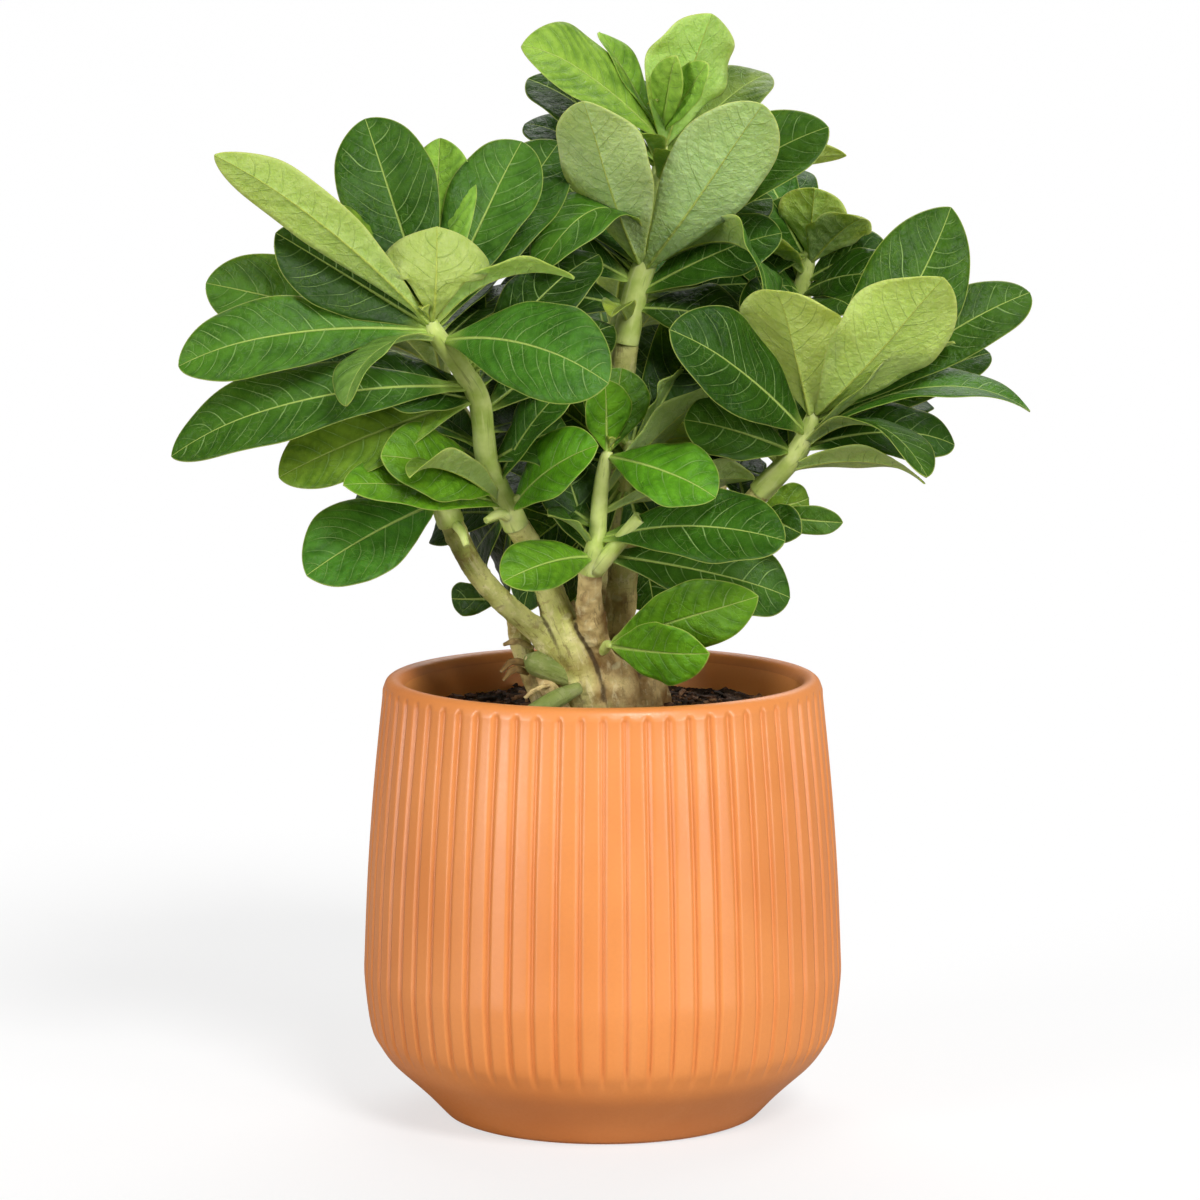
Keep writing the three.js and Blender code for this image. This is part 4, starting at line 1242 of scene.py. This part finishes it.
def make_shoot(name, stem, leaves, fill=None, bud=0.0, stubs=()):
    draw = make_draw(sum(map(ord, name)))
    placed = [leaf[:6] + ((leaf[6], TONES[leaf[7]]) if len(leaf) > 7 else (0.0, TONES[leaf[6]]))
              for leaf in leaves]
    if fill:
        placed += fill_leaves(stem, *fill)
    if bud:
        placed += bud_leaves(stem, draw, bud)
    bm = bmesh.new()
    layers = (bm.verts.layers.float_vector.new("blade"), bm.verts.layers.float_vector.new("veins"),
              bm.verts.layers.float_color.new("tone"))
    add_stem(bm, stem, layers[0])
    for stub in stubs:
        faces, cut = add_tube(bm, stub, 14, 12, None, layers[0])
        for face in faces:
            face.material_index = STEM_FINISH
        bmesh.ops.inset_individual(bm, faces=[cut], thickness=0.25 * stub[-1][3] * MM, depth=-0.2 * MM)
    for leaf in placed:
        add_leaf(bm, layers, stem, leaf, draw)
    return finish_piece(bm, name + "_leaves", SHOOT_FINISHES, [name])


TONES = {
    "deep": srgb(40, 74, 14),
    "dark": srgb(52, 92, 20),
    "mid": srgb(64, 108, 30),
    "bright": srgb(86, 138, 26),
    "light": srgb(126, 172, 58),
    "olive": srgb(104, 138, 38),
    "grey": srgb(104, 136, 60),
    "pale": srgb(136, 162, 56),
    "lime": srgb(150, 170, 42),
    "gold": srgb(166, 197, 74),
    "silver": srgb(158, 194, 130),
    "spring": srgb(140, 192, 72),
}
FILL_TONES = [TONES["dark"], TONES["mid"], TONES["deep"], TONES["mid"], TONES["dark"], TONES["grey"]]

# %% [markdown]
# ## The shoots in front
#
# Each row is one leaf seen in the photograph: where it grows on the stem, its tip, its width, its
# arch, how much of its upper face (or, below zero, of its underside) is turned to the front, its
# cup, where needed a sideways bow, and its tone.

# %% Left shoots
make_shoot(
    "shoot_left",
    [[-33, -32, 230, 4.5], [-42, -40, 251, 4], [-45, -47, 275, 3.8], [-51, -52, 287, 3.6],
     [-60, -57, 300, 3.2], [-62, -59, 306, 2]],
    [(0.90, (-138, -80, 368), 22, -4, -0.75, 0.15, 6, "pale"),
     (0.88, (-99, -50, 348), 26, 0, -0.30, 0.15, "olive"),
     (0.95, (-87, -30, 378), 36, 0, 0.60, 0.15, "dark"),
     (0.97, (-60, -20, 370), 30, 0, 0.50, 0.15, "light"),
     (0.93, (-30, -25, 370), 33, 0, 0.60, 0.15, "mid"),
     (0.85, (-16, -5, 369), 31, 0, 0.60, 0.15, "dark"),
     (0.97, (-60, -62, 339), 39, -9, -0.90, 0.25, "lime"),
     (0.93, (-10, -72, 323), 20, 9, -0.40, 0.30, "light"),
     (0.86, (-118, -62, 338), 32, 0, 0.70, 0.15, "deep"),
     (0.80, (-145, -45, 319), 31, 0, 0.70, 0.10, "mid"),
     (0.84, (-153, -78, 293), 31, 4, 0.60, 0.10, 4, "mid"),
     (0.78, (-93, -98, 280), 20, 9, 0.10, 0.30, "grey"),
     (0.76, (1, -104, 289), 38, 6, 0.50, 0.05, 4, "mid"),
     (0.47, (-158, -73, 260), 32, 14, 0.45, 0.10, "dark"),
     (0.42, (-118, -60, 249), 31, 4, 0.55, 0.15, "olive"),
     (0.05, (-93, -78, 249), 26, 3, 0.50, 0.15, "bright"),
     (0.10, (-79, -72, 259), 31, 3, 0.60, 0.10, "bright"),
     (0.04, (-70, -92, 256), 16, 6, 0.00, 0.70, "olive"),
     (0.40, (-87, -62, 286), 28, 0, 0.40, 0.10, "deep"),
     (0.50, (-113, -28, 286), 26, 0, 0.30, 0.10, "deep"),
     (0.02, (-2, -62, 261), 28, 5, 0.40, 0.15, "bright"),
     (0.12, (-10, -48, 284), 22, 4, 0.30, 0.15, "dark"),
     (0.55, (-2, -30, 330), 30, 3, 0.40, 0.10, "deep"),
     (0.35, (4, -22, 303), 30, 3, 0.40, 0.10, "deep"),
     (0.20, (-12, -36, 264), 26, 4, 0.50, 0.10, "dark"),
     (0.60, (-22, 20, 318), 26, 3, 0.40, 0.10, "deep"),
     (0.45, (-36, 10, 294), 30, 2, 0.60, 0.10, "mid"),
     (0.30, (-22, 10, 262), 28, 2, 0.50, 0.10, "deep"),
     (0.20, (-72, 0, 262), 28, 3, 0.50, 0.10, "dark"),
     (0.03, (-50, 8, 208), 30, 2, 0.60, 0.10, "deep"),
     (0.02, (-64, 14, 226), 28, 2, 0.60, 0.10, "dark"),
     (0.80, (-45, 10, 320), 28, 2, 0.50, 0.10, "deep"),
     (0.10, (-44, 4, 264), 30, 2, 0.50, 0.10, "deep"),
     (0.35, (-40, 16, 288), 28, 2, 0.50, 0.10, "deep"),
     (0.75, (-30, 16, 314), 26, 2, 0.50, 0.10, "deep"),
     (0.01, (-37, 12, 194), 26, 2, 0.60, 0.10, "deep")],
    fill=(3, 3, -80, 20), bud=13,
    stubs=[[[-34, -34, 231, 2.4], [-38, -40, 233, 1.9], [-43, -44, 231, 1.2]],
           [[-35, -33, 236, 2.2], [-28, -40, 240, 1.6], [-24, -44, 241, 1.3]],
           [[-38, -36, 240, 2.0], [-44, -42, 248, 1.4], [-47, -45, 252, 1.0]]])

make_shoot(
    "shoot_low_left",
    [[-57, -30, 231, 4.8], [-60, -32, 239, 4], [-63, -34, 245, 2.5]],
    [(0.35, (-108, -60, 213), 35, 4, 0.60, 0.10, "mid"),
     (0.50, (-92, 4, 236), 26, 4, 0.30, 0.10, "deep"),
     (0.30, (-82, 0, 214), 24, 2, 0.40, 0.10, "deep")],
    stubs=[[[-55, -31, 229, 2.2], [-52, -37, 226, 1.7], [-50, -40, 221, 1.2]],
           [[-58, -31, 235, 2.2], [-51, -35, 240, 1.8], [-47, -37, 246, 1.3]]])

make_shoot(
    "shoot_behind_left",
    [[-35, -20, 198, 2.6], [-36, -14, 198, 2], [-37, -11, 198, 1.3]],
    [(0.70, (-57, -6, 197), 13, 2, 0.60, 0.10, "deep")])

# %% Middle shoots
make_shoot(
    "shoot_centre",
    [[-4, -32, 213, 4.2], [-2, -35, 224, 3.2], [-1, -37, 239, 2.8], [1, -38, 252, 2.4],
     [2, -38, 256, 1.6]],
    [(0.85, (1, -46, 283), 19, 0, 0.70, 0.20, "bright"),
     (0.80, (7, -30, 286), 25, 0, 0.70, 0.15, "bright"),
     (0.82, (41, -66, 243), 28, 4, 0.60, 0.10, "bright"),
     (0.22, (66, -70, 227), 32, 5, 0.55, 0.10, 3, "dark"),
     (0.10, (70, -34, 202), 31, 4, 0.50, 0.10, "dark"),
     (0.06, (-36, -68, 212), 23, 5, 0.50, 0.10, "bright"),
     (0.12, (-20, -42, 233), 22, 3, -0.20, 0.20, "mid"),
     (0.05, (-16, -16, 253), 26, 2, 0.60, 0.10, "deep"),
     (0.30, (-40, 6, 246), 28, 3, 0.50, 0.10, "deep"),
     (0.50, (46, -34, 282), 30, 3, -0.40, 0.10, "grey"),
     (0.40, (56, -24, 246), 30, 3, -0.40, 0.10, "grey")],
    bud=9,
    stubs=[[[-3, -33, 211, 3.4], [5, -38, 221, 3.1], [14, -42, 232, 2.9]]])

make_shoot(
    "shoot_inner",
    [[8, 10, 236, 3], [9, 3, 244, 2.8], [10, -2, 251, 2.4], [10, -3, 256, 1.6]],
    [(0.70, (29, 12, 282), 24, 0, -0.50, 0.15, "olive"),
     (0.60, (50, -18, 249), 28, 10, -0.50, 0.10, "grey"),
     (0.80, (-16, -8, 294), 26, 0, 0.50, 0.15, "dark"),
     (0.50, (39, 36, 286), 26, 2, 0.40, 0.10, "deep"),
     (0.50, (-38, 10, 282), 30, 3, 0.50, 0.10, "deep"),
     (0.40, (48, 25, 314), 30, 3, 0.50, 0.10, "deep"),
     (0.45, (-42, 16, 250), 28, 3, 0.50, 0.10, "deep"),
     (0.30, (56, 30, 262), 30, 3, 0.50, 0.10, "deep"),
     (0.25, (-36, 20, 207), 26, 3, 0.50, 0.10, "deep"),
     (0.25, (36, 32, 218), 28, 3, 0.50, 0.10, "deep"),
     (0.60, (22, 32, 298), 26, 2, 0.50, 0.10, "deep"),
     (0.20, (20, 26, 188), 26, 2, 0.50, 0.10, "deep"),
     (0.15, (-24, 26, 190), 24, 3, 0.50, 0.10, "deep")])

make_shoot(
    "shoot_low_right",
    [[0, -16, 179, 2.2], [2, -22, 182, 1.6], [3, -27, 182, 0.9]],
    [(0.70, (56, -58, 204), 26, 4, 0.60, 0.10, 2, "bright"),
     (0.80, (38, -62, 184), 24, 3, 0.60, 0.10, "bright")])

# %% Right shoots
make_shoot(
    "shoot_right",
    [[60, -22, 241, 4.2], [68, -26, 250, 4], [72, -28, 255, 3.6], [75, -30, 261, 3.2],
     [77, -31, 267, 2.6], [78, -31, 272, 1.6]],
    [(0.80, (64, -58, 318), 40, 0, -0.50, 0.15, "gold"),
     (0.85, (122, -72, 324), 42, -4, -0.50, 0.12, "gold"),
     (0.55, (128, -40, 298), 34, 2, -0.30, 0.15, "grey"),
     (0.60, (26, -78, 305), 37, 5, 0.60, 0.10, "deep"),
     (0.30, (118, -66, 250), 26, 16, 0.10, 0.20, "dark"),
     (0.40, (131, -25, 258), 25, 8, 0.35, 0.10, "deep"),
     (0.75, (129, -10, 344), 39, 3, 0.70, 0.10, -6, "dark"),
     (0.75, (158, -20, 315), 26, 4, 0.60, 0.10, "dark"),
     (0.50, (159, -30, 273), 23, 14, 0.00, 0.20, "mid"),
     (0.45, (146, 5, 290), 20, 6, 0.40, 0.10, "dark"),
     (0.35, (30, -40, 268), 26, 3, 0.50, 0.10, "dark"),
     (0.50, (58, 0, 318), 28, 3, 0.50, 0.10, "deep"),
     (0.05, (36, 10, 244), 28, 3, 0.50, 0.10, "deep"),
     (0.20, (56, 12, 278), 26, 2, 0.50, 0.10, "dark"),
     (0.12, (118, -62, 249), 22, 6, -0.35, 0.15, "olive"),
     (0.10, (66, 6, 262), 24, 2, 0.50, 0.10, "deep")],
    fill=(6, 3, -30, 40), bud=11,
    stubs=[[[67, -25, 249, 1.6], [58, -26, 257, 1.1], [50, -27, 266, 0.9]]])

make_shoot(
    "shoot_right_low",
    [[52, -20, 232, 3], [56, -27, 232, 2.2], [58, -31, 232, 1.4]],
    [(0.80, (89, -34, 229), 11, 4, 0.50, 0.10, "mid"),
     (0.70, (73, -42, 226), 15, 3, 0.40, 0.10, "deep"),
     (0.50, (77, -24, 237), 16, 2, 0.50, 0.10, "olive"),
     (0.10, (46, 12, 256), 26, 2, 0.50, 0.10, "deep")])

# %% Top shoot
make_shoot(
    "shoot_top",
    [[9, 4, 295, 4.7], [13, 3, 314, 4.4], [17, 2, 326, 4], [20, 4, 346, 3.2],
     [22, 6, 367, 2.2], [22, 6, 372, 1.5]],
    [(0.30, (-6, -48, 386), 36, -4, -0.60, 0.15, "silver"),
     (0.26, (58, -48, 385), 36, -4, -0.60, 0.15, "silver"),
     (0.75, (40, -2, 415), 40, 0, -0.30, 0.15, "spring"),
     (0.80, (-28, -20, 406), 35, 4, 0.50, 0.15, "light"),
     (0.70, (-16, -12, 392), 24, 0, 0.40, 0.15, "mid"),
     (0.85, (-1, 10, 408), 20, 0, 0.20, 0.20, "light"),
     (0.92, (38, -22, 397), 15, 0, 0.70, 0.30, "spring"),
     (0.94, (26, -20, 399), 14, 0, 0.70, 0.30, "spring"),
     (0.70, (13, -22, 372), 11, 2, 0.40, 0.60, "bright"),
     (0.66, (26, -24, 366), 10, 2, 0.40, 0.60, "bright"),
     (0.04, (3, -26, 306), 12, 4, -0.40, 0.50, "pale"),
     (0.70, (62, 20, 394), 28, 3, 0.50, 0.15, "grey"),
     (0.40, (82, -20, 375), 33, 3, 0.60, 0.10, 3, "dark"),
     (0.70, (-28, 25, 391), 28, 3, 0.50, 0.10, "deep"),
     (0.60, (91, 26, 363), 20, 3, -0.50, 0.15, "pale"),
     (0.30, (-25, -40, 323), 30, 24, -0.10, 0.10, "mid"),
     (0.32, (61, -36, 311), 34, 20, -0.45, 0.10, "mid"),
     (0.20, (-52, -5, 345), 32, 3, 0.50, 0.10, "deep"),
     (0.15, (66, -8, 335), 30, 3, 0.50, 0.10, "dark"),
     (0.10, (-40, 5, 312), 28, 3, 0.50, 0.10, "deep"),
     (0.10, (52, -5, 300), 28, 3, 0.50, 0.10, "deep"),
     (0.30, (-30, 14, 366), 28, 2, 0.50, 0.10, "dark"),
     (0.20, (-4, 26, 354), 26, 2, 0.50, 0.10, "deep"),
     (0.60, (-29, 18, 376), 26, 3, 0.50, 0.10, "deep"),
     (0.45, (64, 24, 346), 26, 2, 0.50, 0.10, "deep"),
     (0.15, (72, 28, 312), 30, 3, 0.50, 0.10, "deep")],
    fill=(7, 3, -80, 0), bud=15)

# %% [markdown]
# ## The shoots behind
#
# The far branches end in shoots of their own. One shows above the right rosette. The other two
# are hidden in the photograph, so nearly all their leaves come from the rule.

# %% Back shoots
make_shoot(
    "shoot_right_back",
    [[74, 52, 295, 4.2], [76, 50, 307, 3.6], [78, 48, 318, 2.8], [79, 47, 325, 1.8]],
    [(0.70, (65, 40, 343), 26, 0, 0.60, 0.10, "dark"),
     (0.80, (80, 30, 349), 26, 0, -0.40, 0.15, "light"),
     (0.65, (97, 25, 338), 25, 2, -0.30, 0.10, "mid"),
     (0.45, (109, 40, 324), 26, 4, 0.50, 0.10, "deep"),
     (0.30, (109, 20, 316), 26, 5, 0.50, 0.10, "deep"),
     (0.55, (49, 10, 331), 22, 3, -0.30, 0.10, "grey"),
     (0.30, (50, 20, 320), 26, 3, 0.50, 0.10, "dark"),
     (0.20, (94, 8, 306), 28, 3, 0.50, 0.10, "dark"),
     (0.80, (48, 34, 322), 26, 3, 0.50, 0.10, "deep"),
     (0.35, (66, 62, 330), 28, 2, 0.50, 0.10, "deep")],
    fill=(8, 3, -70, -10), bud=10)

make_shoot(
    "shoot_left_back",
    [[-58, 66, 262, 4.5], [-66, 70, 282, 3.8], [-72, 72, 302, 2.2]],
    [], fill=(12, 9, -200, 50), bud=10)

make_shoot(
    "shoot_middle_back",
    [[1, 90, 248, 4.3], [2, 94, 270, 3.7], [4, 96, 292, 2.2]],
    [(0.05, (-32, 72, 182), 32, 4, 0.50, 0.10, "deep"),
     (0.08, (-6, 66, 180), 32, 4, 0.50, 0.10, "dark"),
     (0.04, (28, 72, 182), 34, 4, 0.50, 0.10, "deep")],
    fill=(10, 9, -50, 190), bud=10)
